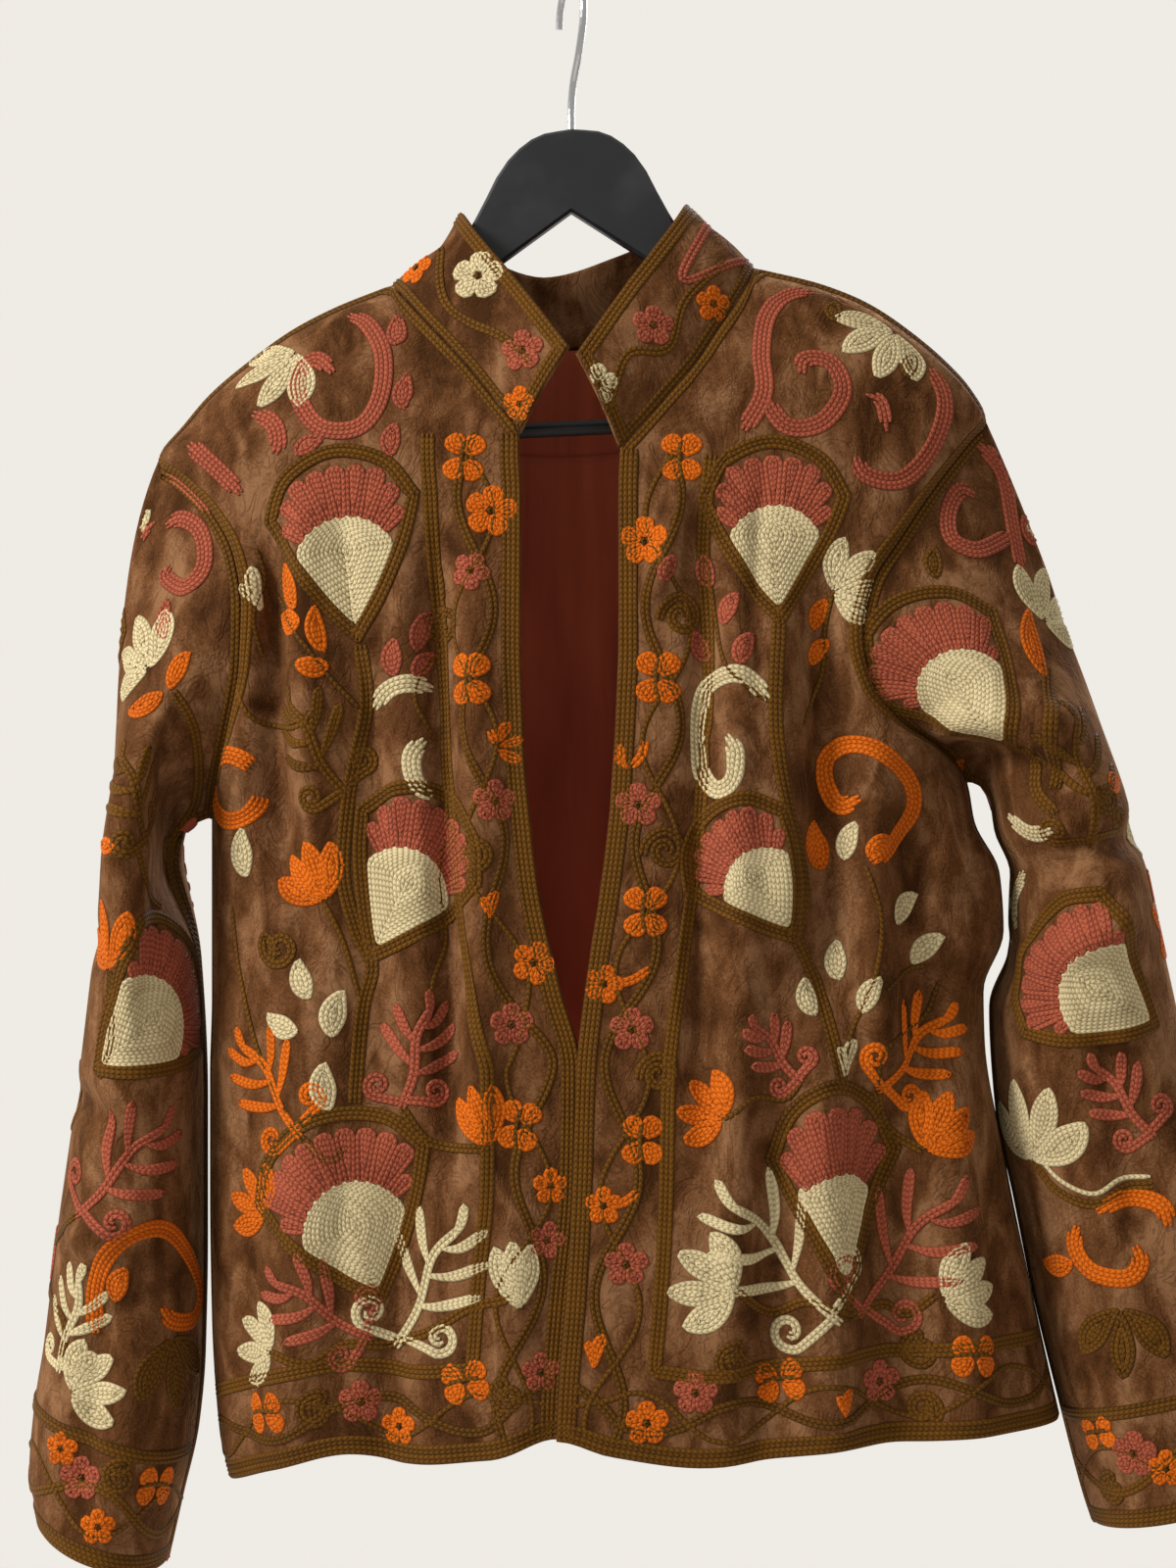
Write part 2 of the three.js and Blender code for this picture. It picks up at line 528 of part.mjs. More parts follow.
/** Gives the sewn border points of all pieces shared normals, and parts them by the seam gap. */
function sew(pieces) {
  const met = [];
  const borderOf = (piece) => {
    const rows = piece.grid.length - 1;
    const columns = piece.grid[0].length - 1;
    const found = [];
    piece.grid.forEach((line, row) =>
      line.forEach((_, j) => {
        const side = !piece.closed && (j === 0 || j === columns);
        if (row === 0 || row === rows || side) found.push([row, j]);
      }),
    );
    return found;
  };
  for (const piece of pieces) {
    piece.normals = gridNormals(piece.grid, piece.closed, piece.facing);
    for (const [row, j] of borderOf(piece)) {
      const point = piece.grid[row][j];
      const group = met.find((one) => one[0].piece.grid[one[0].row][one[0].j].distanceTo(point) < 1);
      if (group) group.push({ piece, row, j });
      else met.push([{ piece, row, j }]);
    }
  }
  for (const group of met) {
    if (new Set(group.map((one) => one.piece)).size < 2) continue;
    const shared = new THREE.Vector3();
    for (const { piece, row, j } of group) shared.add(piece.normals[row][j]);
    shared.normalize();
    for (const one of group) {
      const { grid, closed, normals } = one.piece;
      const inRow = clamp(one.row, 1, grid.length - 2);
      const inColumn = closed ? one.j : clamp(one.j, 1, grid[0].length - 2);
      const inward = grid[inRow][inColumn].clone().sub(grid[one.row][one.j]);
      inward.addScaledVector(shared, -inward.dot(shared)).normalize();
      one.shift = inward.multiplyScalar(SEAM_GAP * 0.6);
      normals[one.row][one.j] = shared.clone();
    }
    const start = group[0].piece.grid[group[0].row][group[0].j].clone();
    for (const one of group) one.piece.grid[one.row][one.j] = start.clone().add(one.shift);
  }
}

/** A closed wall between a grid and its inner copy, the wall's thickness behind it. */
function wallGeometry({ grid, normals, closed, facing, wall }) {
  const rows = grid.length;
  const columns = grid[0].length;
  const outer = grid.flat();
  const inner = grid.map((line, row) =>
    line.map((point, j) => point.clone().addScaledVector(normals[row][j], -wall)),
  ).flat();
  const count = outer.length;
  const index = [];
  const quad = (a, b, c, d) => {
    if (facing > 0) index.push(a, b, c, a, c, d);
    else index.push(a, c, b, a, d, c);
  };
  const all = [...outer, ...inner];
  const rim = (a, b, c, d) => {
    if (all[a].distanceTo(all[c]) < all[b].distanceTo(all[d])) quad(a, b, c, d);
    else quad(b, c, d, a);
  };
  const id = (row, j) => row * columns + (j % columns);
  const cells = closed ? columns : columns - 1;
  for (let row = 0; row < rows - 1; row += 1)
    for (let j = 0; j < cells; j += 1) {
      const [a, b, c, d] = [id(row, j), id(row, j + 1), id(row + 1, j + 1), id(row + 1, j)];
      quad(a, b, c, d);
      quad(count + a, count + d, count + c, count + b);
    }
  for (let j = 0; j < cells; j += 1) {
    const [a, b] = [id(0, j), id(0, j + 1)];
    rim(count + a, count + b, b, a);
    const [c, d] = [id(rows - 1, j), id(rows - 1, j + 1)];
    rim(c, d, count + d, count + c);
  }
  if (!closed)
    for (let row = 0; row < rows - 1; row += 1) {
      const [a, b] = [id(row, 0), id(row + 1, 0)];
      rim(a, b, count + b, count + a);
      const [c, d] = [id(row, columns - 1), id(row + 1, columns - 1)];
      rim(count + c, count + d, d, c);
    }
  const geometry = new THREE.BufferGeometry().setFromPoints(all);
  geometry.setIndex(index);
  geometry.computeVertexNormals();
  return geometry;
}

/** Leans points with the hanger's tilt: a rise for each mm of x. */
function tilted(geometry) {
  geometry.applyMatrix4(new THREE.Matrix4().set(1, 0, 0, 0, 0, 1, 0, 0, TILT, 0, 1, 0, 0, 0, 0, 1));
  return geometry;
}

const finish = (color, roughness, metalness = 0) =>
  new THREE.MeshStandardMaterial({ color, roughness, metalness });
const VELVET = finish(0x7a5a48, 0.8);
const LINING = finish(0x6e2f1f, 0.7);
const BLACK_WOOD = finish(0x1d2122, 0.5);
const CHROME = finish(0xc8c8c8, 0.2, 1);

/** The cloth pieces, cut and sewn. */
function clothPieces() {
  const below = (folds) => (point) => foldHeight(folds, point.x, point.z);
  const frontLeft = { name: "front_left", closed: false, facing: -1, calm: calmNear(["top", "end"]) };
  const frontRight = { name: "front_right", closed: false, facing: 1, calm: calmNear(["top", "end"]) };
  const back = { name: "back", closed: false, facing: -1, calm: calmNear(["top", "start", "end"]) };
  frontLeft.grid = withFolds(frontGrid(leftOutline, -1), frontLeft, below(FRONT_FOLDS));
  frontRight.grid = withFolds(frontGrid(rightOutline, 1), frontRight, below(FRONT_FOLDS));
  back.grid = withFolds(backGrid(), back, below(BACK_FOLDS));

  const armholeRows = Array.from({ length: ROWS_ABOVE + 1 }, (_, i) => ROWS_BELOW + i);
  const frontArmhole = (front) => armholeRows.map((row) => front.grid[row].at(-1));
  const backArmhole = (edge) => armholeRows.map((row) => back.grid[row].at(edge));
  const sleeve = (name, table, front, edge, sign) => {
    const down = frontArmhole(front).reverse();
    const up = backArmhole(edge).slice(1, -1);
    const piece = { name, closed: true, facing: sign, calm: calmNear(["bottom"]) };
    const grid = sleeveGrid(table, [...down, ...up], sign);
    const middle = column([...table].reverse(), "z", "middleY");
    const folds = (point) => {
      const facesFront = point.y < middle(point.z);
      return foldHeight(SLEEVE_FOLDS.filter((f) => f.front === facesFront), point.x, point.z);
    };
    piece.grid = withFolds(grid, piece, folds);
    return piece;
  };
  const sleeveLeft = sleeve("sleeve_left", SLEEVE_LEFT, frontLeft, 0, -1);
  const sleeveRight = sleeve("sleeve_right", SLEEVE_RIGHT, frontRight, -1, 1);

  const topEdge = (piece) => piece.grid.at(-1);
  const neckline = [
    ...topEdge(frontLeft).slice(0, NECK_CELLS),
    ...topEdge(back).slice(SHOULDER_CELLS, SHOULDER_CELLS + BACK_NECK_CELLS + 1),
    ...topEdge(frontRight).slice(0, NECK_CELLS).reverse(),
  ];
  const collar = { name: "collar", closed: false, facing: -1, grid: collarGrid(neckline) };
  const all = [frontLeft, frontRight, back, sleeveLeft, sleeveRight, collar];
  return all.map((piece) => ({ ...piece, wall: WALL }));
}

/** The cotton lining of the back, a wall of its own just inside the back's wall. */
function backLining(back) {
  const kept = (lines) => lines.slice(1, -2).map((line) => line.slice(2, -2));
  const normals = kept(back.normals);
  const grid = kept(back.grid).map((line, row) =>
    line.map((point, j) => point.clone().addScaledVector(normals[row][j], -WALL - SEAM_GAP)),
  );
  return { name: "back_lining", closed: false, facing: back.facing, wall: LINING_WALL, grid, normals };
}

/** A three.js geometry as a manifold solid. */
function solidOf(geometry) {
  const bare = geometry.index ? geometry.toNonIndexed() : geometry.clone();
  bare.deleteAttribute("normal");
  bare.deleteAttribute("uv");
  const merged = mergeVertices(bare, 1e-3);
  return new wasm.Manifold(
    new wasm.Mesh({
      numProp: 3,
      vertProperties: merged.attributes.position.array,
      triVerts: new Uint32Array(merged.index.array),
    }),
  );
}

/** A manifold solid as a three.js geometry. */
function geometryOf(solid) {
  const mesh = solid.getMesh();
  const geometry = new THREE.BufferGeometry();
  geometry.setAttribute("position", new THREE.BufferAttribute(mesh.vertProperties, 3));
  geometry.setIndex(new THREE.BufferAttribute(mesh.triVerts, 1));
  geometry.computeVertexNormals();
  return geometry;
}

/** The hanger's board: a curved outline with a pointed underside, socketed for the bar. */
function hangerBoard() {
  const top = [
    { x: 0, z: BOARD_TOP_Z },
    { x: 18, z: -81 },
    { x: 34, z: -94 },
    { x: 49, z: -121 },
    { x: 64, z: -145 },
    { x: 80, z: -163 },
    { x: 98, z: -173 },
    { x: 130, z: -184 },
    { x: 166, z: -204 },
    { x: 191, z: -230 },
    { x: 200, z: -247 },
  ];
  const under = [
    { x: 193, z: -258 },
    { x: 168, z: -237 },
    { x: 120, z: -204 },
    { x: 60, z: -162 },
    { x: 0, z: -121 },
  ];
  const curve = new THREE.CatmullRomCurve3(top.map((p) => new THREE.Vector3(p.x, p.z, 0)));
  const upper = curve.getPoints(26).map((p) => [p.x, p.y]);
  const half = [...upper, ...under.map((p) => [p.x, p.z])];
  const outline = [...half, ...half.slice(1, -1).reverse().map(([x, z]) => [-x, z])];
  const shape = new THREE.Shape(outline.map(([x, z]) => new THREE.Vector2(x, z)));
  const bevel = 1.5;
  const board = new THREE.ExtrudeGeometry(shape, {
    depth: BOARD_THICKNESS - 2 * bevel,
    bevelEnabled: true,
    bevelSize: bevel,
    bevelOffset: -bevel,
    bevelThickness: bevel,
    bevelSegments: 1,
  });
  board.translate(0, 0, bevel - BOARD_THICKNESS / 2);
  board.rotateX(Math.PI / 2);
  const radius = BAR_RADIUS + SOCKET_CLEARANCE;
  const length = 2 * (BAR_HALF_LENGTH + SOCKET_CLEARANCE);
  const socket = new THREE.CylinderGeometry(radius, radius, length, 20);
  socket.rotateZ(Math.PI / 2);
  socket.translate(0, 0, BAR_Z);
  return geometryOf(solidOf(board).subtract(solidOf(socket)));
}

/** The bar between the board's two arms. */
function hangerBar() {
  const bar = new THREE.CylinderGeometry(BAR_RADIUS, BAR_RADIUS, 2 * BAR_HALF_LENGTH, 16);
  bar.rotateZ(Math.PI / 2);
  bar.translate(0, 0, BAR_Z);
  return bar;
}

/** The wire hook: up from the board, out, and over in a round bend that is open at the back. */
function hangerHook() {
  const bendZ = WIRE_RADIUS - HOOK_RADIUS;
  const foot = BOARD_TOP_Z + SEAM_GAP;
  const stem = [
    [0, foot],
    [0, foot + 12],
    [4, foot + 24],
    [13, foot + 36],
  ];
  const steps = 12;
  const arc = Array.from({ length: steps + 1 }, (_, i) => {
    const angle = lerp(-0.35, Math.PI, i / steps);
    return [HOOK_RADIUS * Math.cos(angle), bendZ + HOOK_RADIUS * Math.sin(angle)];
  });
  const path = new THREE.CatmullRomCurve3(
    [...stem, ...arc].map(
      ([out, z]) => new THREE.Vector3(out * Math.cos(HOOK_TURN), -out * Math.sin(HOOK_TURN), z),
    ),
  );
  const section = new THREE.Shape().absarc(0, 0, WIRE_RADIUS, 0, 2 * Math.PI);
  return new THREE.ExtrudeGeometry(section, {
    curveSegments: 5,
    steps: 36,
    bevelEnabled: false,
    extrudePath: path,
  });
}

const jacket = new THREE.Group();
const add = (name, geometry, material) => {
  const mesh = new THREE.Mesh(geometry, material);
  mesh.name = name;
  jacket.add(mesh);
};
const pieces = clothPieces();
sew(pieces);
for (const piece of pieces) add(piece.name, tilted(wallGeometry(piece)), VELVET);
const lining = backLining(pieces.find((piece) => piece.name === "back"));
add(lining.name, tilted(wallGeometry(lining)), LINING);
add("hanger_board", tilted(hangerBoard()), BLACK_WOOD);
add("hanger_bar", tilted(hangerBar()), BLACK_WOOD);
add("hanger_hook", hangerHook(), CHROME);

export default jacket;
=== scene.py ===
"""Dresses a velvet jacket on a wooden hanger: cloth, lining, chain-stitch embroidery and finishes.

Sizes are in millimetres and become metres when a mesh is made. +Z is up, +X is the viewer's right
and -Y is the front of the jacket. The origin is the inside of the hook's bend.
"""

import logging
import math
from dataclasses import dataclass, field
from enum import Enum

import bpy
import numpy as np
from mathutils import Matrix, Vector


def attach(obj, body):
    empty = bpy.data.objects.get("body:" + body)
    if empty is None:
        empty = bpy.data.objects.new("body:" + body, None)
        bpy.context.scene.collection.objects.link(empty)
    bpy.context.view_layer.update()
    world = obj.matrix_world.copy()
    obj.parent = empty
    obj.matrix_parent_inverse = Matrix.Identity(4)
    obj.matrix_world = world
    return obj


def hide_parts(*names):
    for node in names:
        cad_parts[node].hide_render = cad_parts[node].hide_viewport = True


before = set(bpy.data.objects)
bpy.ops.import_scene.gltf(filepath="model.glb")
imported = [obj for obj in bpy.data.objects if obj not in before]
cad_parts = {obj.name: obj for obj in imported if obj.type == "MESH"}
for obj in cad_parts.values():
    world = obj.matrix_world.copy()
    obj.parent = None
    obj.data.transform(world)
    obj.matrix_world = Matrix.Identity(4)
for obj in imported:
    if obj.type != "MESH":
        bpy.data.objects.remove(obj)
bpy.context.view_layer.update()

Array = np.ndarray
log = logging.getLogger("jacket")

# Driving sizes, the same as in the part's source
WALL = 2.0
LINING_WALL = 1.0
TILT = 0.047
HEM_Z = -757.0
UNDERARM_Z = -427.0
SHOULDER_Z = -240.0
NECK_Z = -154.0
BACK_NECK_DROP = 34.0
COLLAR_BULGE = 4.0
HEM_REACH = 150.0
SEAM_CALM = 20.0
CREASE_GAIN = 1.4

# How finely the cloth is divided
ROWS_BELOW = 96
ROWS_ABOVE = 56
NECK_CELLS = 16
SHOULDER_CELLS = 40
BACK_NECK_CELLS = 44
COLLAR_ROWS = 24
CAP_ROWS = 26
SLEEVE_ROWS = 104

# How closely shapes are worked out; for the flat cut, pairs of grid stride and rounds
TOP_HALVINGS = 36
PLACE_STEPS = 14
FLAT_ROUNDS = ((8, 500), (4, 300), (2, 160))
FLAT_PUSH = 1.7

# The photograph's frame: millimetres for a pixel, and the camera's place
PIXEL = 0.51
PHOTO_X = 583.0
PHOTO_Y = -20.0
EYE_X = 8.7
EYE_Z = -418.0
EYE_DISTANCE = 1500.0

# Chain-stitch rows
ROW_PITCH = 2.3
ROW_WIDTH = 2.7
ROW_BASE = 0.22
ROW_RISE = 0.72
LINK = 1 / 0.34
SHORTEST_ROW = 1.5
OFF_CLOTH = 0.8
STITCH_STEP = 3.6


def smooth(t: Array) -> Array:
    """A soft step: 3 t squared minus 2 t cubed, with t held between 0 and 1."""
    t = np.clip(t, 0, 1)
    return t * t * (3 - 2 * t)


def lerp(a: Array, b: Array, t: Array) -> Array:
    """The point a share t of the way from a to b."""
    return a + (b - a) * t


def lengths(path: Array) -> Array:
    """The length along a path from its start to each of its points."""
    return np.concatenate([[0], np.cumsum(np.linalg.norm(np.diff(path, axis=0), axis=1))])


@dataclass(frozen=True)
class Curve:
    """A smooth curve with no overshoot through the rows of a table's column."""

    at: Array
    value: Array

    def __call__(self, t: Array) -> Array:
        """Reads the curve.

        Between two rows it is the cubic with the rows' values and slopes, and a row's slope is the
        harmonic mean of the rises before and after it, or 0 where they differ in sign.

        Args:
            t: where to read it, in the unit of the table's first column.

        Returns:
            The values there, held at the ends beyond the table.
        """
        at, value = self.at, self.value
        rise = np.diff(value) / np.diff(at)
        before = np.concatenate([rise[:1], rise])
        after = np.concatenate([rise, rise[-1:]])
        both = np.where(before + after == 0, 1, before + after)
        slope = np.where(before * after > 0, 2 * before * after / both, 0)
        x = np.clip(t, at[0], at[-1])
        i = np.clip(np.searchsorted(at, x, side="left") - 1, 0, len(at) - 2)
        span = at[i + 1] - at[i]
        s = (x - at[i]) / span
        return (
            value[i] * (1 + 2 * s) * (1 - s) ** 2
            + slope[i] * span * s * (1 - s) ** 2
            + value[i + 1] * s * s * (3 - 2 * s)
            + slope[i + 1] * span * s * s * (s - 1)
        )


@dataclass(frozen=True)
class Table:
    """A short table of sizes with named columns, ordered by its first one."""

    names: str
    rows: tuple[tuple[float, ...], ...]

    def curve(self, name: str) -> Curve:
        """The smooth curve through one column."""
        numbers = np.array(sorted(self.rows))
        return Curve(numbers[:, 0], numbers[:, self.names.split().index(name)])


FRONT_LEFT = Table(
    "z edge edge_depth side side_depth",
    (
        (-757, 6, 64, 177, 0),
        (-735, 5, 65, 182, 0),
        (-680, 1, 65, 186, 0),
        (-620, -4, 65, 187, 0),
        (-560, -5, 64, 187, 0),
        (-520, 5, 63, 186, 0),
        (-470, 16, 61, 186, 0),
        (-427, 21, 59, 186, 0),
        (-405, 23, 58, 181, 18),
        (-380, 24, 57, 174, 31),
        (-350, 25, 55, 168, 38),
        (-320, 25, 53, 167, 40),
        (-295, 25, 51, 171, 36),
        (-270, 25, 49, 184, 25),
        (-252, 26, 48, 201, 11),
        (-240, 26, 47, 215, 0),
        (-222, 38, 41, 201, 0),
        (-207, 49, 36, 188, 0),
        (-190, 63, 29, 167, 0),
        (-175, 76, 21, 145, 0),
        (-164, 85, 14, 122, 0),
        (-154, 93, 0, 93.5, 0),
    ),
)
FRONT_RIGHT = Table(
    "z edge edge_depth side side_depth",
    (
        (-757, -7, 70, 253, 0),
        (-735, -6, 71, 248, 0),
        (-680, -2, 71, 236, 0),
        (-620, 1, 71, 224, 0),
        (-560, 3, 70, 214, 0),
        (-535, 5.4, 69, 213.5, 0),
        (-505, 9.4, 67.2, 224, 0),
        (-475, 14.2, 65.2, 222, 0),
        (-448, 17.8, 63.5, 209, 0),
        (-427, 20, 62, 205, 0),
        (-410, 21, 61, 190, 18),
        (-395, 22, 60, 168, 33),
        (-375, 23, 58, 152, 44),
        (-350, 24, 56, 147, 48),
        (-325, 24, 54, 152, 45),
        (-300, 24, 52, 168, 36),
        (-275, 24, 50, 186, 24),
        (-250, 25, 48, 207, 7),
        (-240, 34, 46, 216, 0),
        (-222, 50, 42, 207, 0),
        (-207, 63, 36, 194, 0),
        (-190, 74, 28, 175, 0),
        (-175, 84, 20, 154, 0),
        (-164, 90, 13, 130, 0),
        (-154, 95, 0, 95.5, 0),
    ),
)
BACK = Table(
    "z middle armhole",
    (
        (-757, 56, 0),
        (-620, 54, 0),
        (-520, 51, 0),
        (-427, 47, 0),
        (-395, 46, 26),
        (-350, 44, 38),
        (-300, 41, 32),
        (-265, 38, 17),
        (-240, 36, 0),
        (-207, 33, 0),
        (-175, 24, 0),
        (-154, 0.5, 0),
    ),
)
SQUARENESS = Table(
    "z front back",
    ((-757, 2.5, 2.6), (-427, 2.6, 2.8), (-350, 2.4, 2.6), (-240, 2.2, 2.4), (-154, 2.0, 2.0)),
)
FRONT_HEM = Table(
    "x rise",
    (
        (-177, -11),
        (-149, 0),
        (-114, 8),
        (-83, 2),
        (-42, 4),
        (-8, 13),
        (20, 4),
        (70, -4),
        (146, 1),
        (253, 0),
    ),
)
BACK_HEM = Table("x rise", ((-177, -11), (-110, 3), (-30, -3), (60, 2), (150, -4), (253, 0)))
SLEEVE_LEFT = Table(
    "z outer inner middle_y half_depth lean dip",
    (
        (-452, -242, -203, 2, 62, -0.06, 0),
        (-500, -248, -194, 4, 62, -0.07, 0),
        (-570, -257, -191, 5, 60, -0.08, 0.02),
        (-640, -267, -191, 5, 58, -0.1, 0.04),
        (-700, -274, -192, 4, 54, -0.14, 0.06),
        (-735, -279, -195, 2, 51, -0.18, 0.08),
        (-768, -281, -203, 0, 48, -0.28, 0.09),
        (-797, -276, -210, -1, 45, -0.4, 0.1),
    ),
)
SLEEVE_RIGHT = Table(
    "z outer inner middle_y half_depth lean dip",
    (
        (-446, 287, 224, -6, 62, 0.16, 0),
        (-470, 294, 232, -4, 60, 0.2, 0),
        (-500, 301, 232, -1, 60, 0.2, 0),
        (-535, 309, 219, 2, 61, 0.2, 0),
        (-585, 320, 222, 3, 59, 0.2, 0),
        (-636, 331, 232, 3, 56, 0.2, 0),
        (-687, 340, 242, 2, 53, 0.2, 0),
        (-738, 347, 254, 1, 50, 0.2, 0),
        (-790, 352, 267, 0, 46, 0.2, -0.04),
        (-806, 353, 272, 0, 45, 0.2, -0.04),
    ),
)
COLLAR_TOP = Table(
    "share x y z",
    (
        (0, -0.8, -54, -198),
        (0.13, -24, -38, -165),
        (0.27, -52, -16, -127),
        (0.32, -58, 5, -117),
        (0.37, -51, 25, -132),
        (0.46, -14, 40, -147),
        (0.56, 24, 39, -138),
        (0.64, 51, 26, -127),
        (0.69, 60, 6, -118),
        (0.74, 54, -16, -129),
        (0.87, 27, -38, -167),
        (1, 3, -56, -202),
    ),
)

# Folds of the cloth. Each runs from (x0, z0) to (x1, z1) with a width and a height, below 0 for a trough.
Folds = tuple[tuple[float, ...], ...]
FRONT_FOLDS: Folds = (
    (-66, -250, -60, -640, 9, -8),
    (-50, -260, -46, -700, 11, 5),
    (-154, -270, -148, -480, 10, -10),
    (-136, -250, -134, -440, 11, 5),
    (-100, -330, -100, -590, 14, -5),
    (-128, -480, -142, -790, 19, 7),
    (-84, -590, -92, -790, 15, -7),
    (-26, -570, -30, -790, 13, 4),
    (70, -262, 64, -640, 9, -6),
    (84, -262, 80, -790, 12, 6),
    (56, -262, 40, -340, 8, 5),
    (108, -310, 108, -520, 14, 5),
    (126, -290, 130, -560, 15, -9),
    (150, -380, 154, -600, 14, 5),
    (172, -410, 180, -610, 13, -6),
    (188, -520, 206, -790, 15, 6),
    (158, -560, 162, -790, 15, -7),
    (126, -520, 130, -790, 15, 6),
    (98, -570, 98, -790, 13, -5),
)
FRONT_CREASES: Folds = (
    (-118, -262, -96, -420, 5, -1.8),
    (-84, -280, -90, -470, 5, 1.6),
    (-160, -430, -120, -520, 6, -2.0),
    (-172, -500, -150, -640, 6, 1.5),
    (-112, -600, -118, -740, 6, -1.6),
    (-58, -640, -66, -750, 5, -1.6),
    (-38, -330, -34, -520, 5, 1.2),
    (-164, -660, -160, -760, 6, -1.8),
    (96, -250, 92, -390, 5, -1.6),
    (116, -440, 122, -640, 6, 1.5),
    (140, -470, 150, -660, 5, -1.6),
    (192, -440, 176, -520, 6, 1.6),
    (200, -560, 214, -700, 6, -1.8),
    (48, -420, 46, -620, 5, -1.2),
    (64, -650, 62, -752, 5, 1.4),
    (222, -650, 238, -756, 6, 1.6),
    (144, -700, 146, -757, 6, -1.6),
)
BACK_FOLDS: Folds = (
    (-140, -290, -138, -520, 11, -8),
    (-112, -260, -116, -700, 13, 5),
    (-72, -330, -80, -790, 15, -6),
    (-34, -420, -38, -790, 15, 6),
    (4, -260, 8, -620, 14, -5),
    (46, -430, 52, -790, 16, 6),
    (92, -350, 96, -790, 14, -7),
    (128, -300, 140, -790, 14, 6),
    (158, -420, 184, -790, 14, -6),
)
BACK_CREASES: Folds = (
    (-124, -330, -96, -470, 6, -1.8),
    (-52, -230, -58, -420, 6, 1.5),
    (-96, -560, -102, -740, 6, 1.6),
    (-12, -480, -14, -700, 6, -1.6),
    (28, -300, 24, -470, 6, 1.5),
    (70, -520, 76, -740, 6, -1.7),
    (112, -420, 106, -600, 6, -1.5),
    (150, -520, 168, -720, 6, 1.7),
    (-160, -480, -162, -680, 6, 1.6),
    (196, -560, 216, -740, 6, -1.6),
)
SLEEVE_FRONT_FOLDS: Folds = (
    (-196, -330, -214, -560, 9, -6),
    (-214, -300, -232, -480, 9, 4),
    (-262, -560, -205, -600, 9, -5),
    (-258, -640, -210, -620, 10, 4),
    (-235, -640, -250, -790, 11, -5),
    (186, -410, 262, -430, 9, -8),
    (180, -392, 262, -400, 10, 6),
    (236, -470, 300, -455, 9, -7),
    (226, -530, 290, -490, 11, 5),
    (262, -540, 290, -680, 11, -5),
    (300, -560, 325, -790, 11, 4),
    (-206, -420, -216, -520, 5, 1.6),
    (-248, -470, -222, -540, 6, -1.7),
    (-240, -690, -208, -660, 6, -1.8),
    (-262, -720, -228, -742, 6, 1.6),
    (244, -600, 300, -560, 6, -1.8),
    (256, -660, 312, -640, 6, 1.6),
    (284, -720, 336, -700, 6, -1.6),
    (286, -480, 250, -520, 6, 1.5),
    (206, -330, 236, -420, 6, -1.7),
    (-192, -290, -204, -380, 5, 1.4),
    (224, -432, 229, -522, 9, 2.8),
)
SLEEVE_BACK_FOLDS: Folds = (
    (-215, -330, -235, -600, 11, -6),
    (-240, -600, -248, -790, 12, 5),
    (240, -320, 286, -520, 12, -6),
    (260, -560, 300, -790, 12, 5),
    (-250, -540, -206, -580, 6, -1.8),
    (-246, -660, -210, -640, 6, 1.7),
    (230, -470, 290, -450, 7, -2.0),
    (246, -560, 300, -540, 6, 1.7),
    (262, -680, 320, -660, 6, -1.8),
    (224, -432, 229, -522, 9, 2.8),
)
COLLAR_FOLDS: Folds = (
    (-30, -190, -44, -150, 8, -1.5),
    (24, -196, 40, -160, 8, 1.5),
)


def fold_height(folds: Folds, x: Array, z: Array) -> Array:
    """Adds up folds at points.

    A fold is its height, times a bell of the distance from its line over its width, faded over the
    first and last quarter of its length. The line sways a little from side to side.

    Args:
        folds: rows of x0, z0, x1, z1, width, height.
        x: the points' x.
        z: the points' z.

    Returns:
        How far the cloth stands out there.
    """
    total = np.zeros_like(x)
    for x0, z0, x1, z1, width, height in folds:
        dx, dz = x1 - x0, z1 - z0
        along = ((x - x0) * dx + (z - z0) * dz) / (dx * dx + dz * dz)
        sway = 1.6 * np.sin(6.5 * along + x0 + z1)
        away = ((x - x0) * dz - (z - z0) * dx) / math.hypot(dx, dz) + sway
        total += height * smooth(along * 4) * smooth((1 - along) * 4) * np.exp(-((away / width) ** 2))
    return total


def evenly(lines: Array, cells: int) -> Array:
    """Points at even steps along many polylines at once.

    Args:
        lines: (count, points, 3) corners.
        cells: how many steps each line gets.

    Returns:
        (count, cells + 1, 3) points, each line's two ends among them.
    """
    step = np.linalg.norm(np.diff(lines, axis=1), axis=2)
    length = np.concatenate([np.zeros((len(lines), 1)), np.cumsum(step, axis=1)], axis=1)
    row = 2.0 * np.arange(len(lines))[:, None]
    at = (length / length[:, -1:] + row).ravel()
    want = (np.linspace(0, 1, cells + 1)[None, :] + row).ravel()
    parts = [np.interp(want, at, lines[..., k].ravel()) for k in range(lines.shape[2])]
    return np.stack(parts, axis=-1).reshape(len(lines), cells + 1, lines.shape[2])


def grid_normals(grid: Array, closed: bool, facing: int) -> Array:
    """Unit normals of a grid of points.

    The normal is the cross product of the step along the row and the step up the column.

    Args:
        grid: (rows, columns, 3) points.
        closed: whether the first and last columns are one seam.
        facing: 1 or -1, the side that the normals point to.

    Returns:
        (rows, columns, 3) unit vectors.
    """
    wide = np.concatenate([grid[:, :1], grid, grid[:, -1:]], axis=1)
    if closed:
        wide = np.concatenate([grid[:, -2:-1], grid, grid[:, 1:2]], axis=1)
    across = wide[:, 2:] - wide[:, :-2]
    along = np.gradient(grid, axis=0)
    normal = facing * np.cross(across, along)
    return normal / np.maximum(np.linalg.norm(normal, axis=2, keepdims=True), 1e-9)


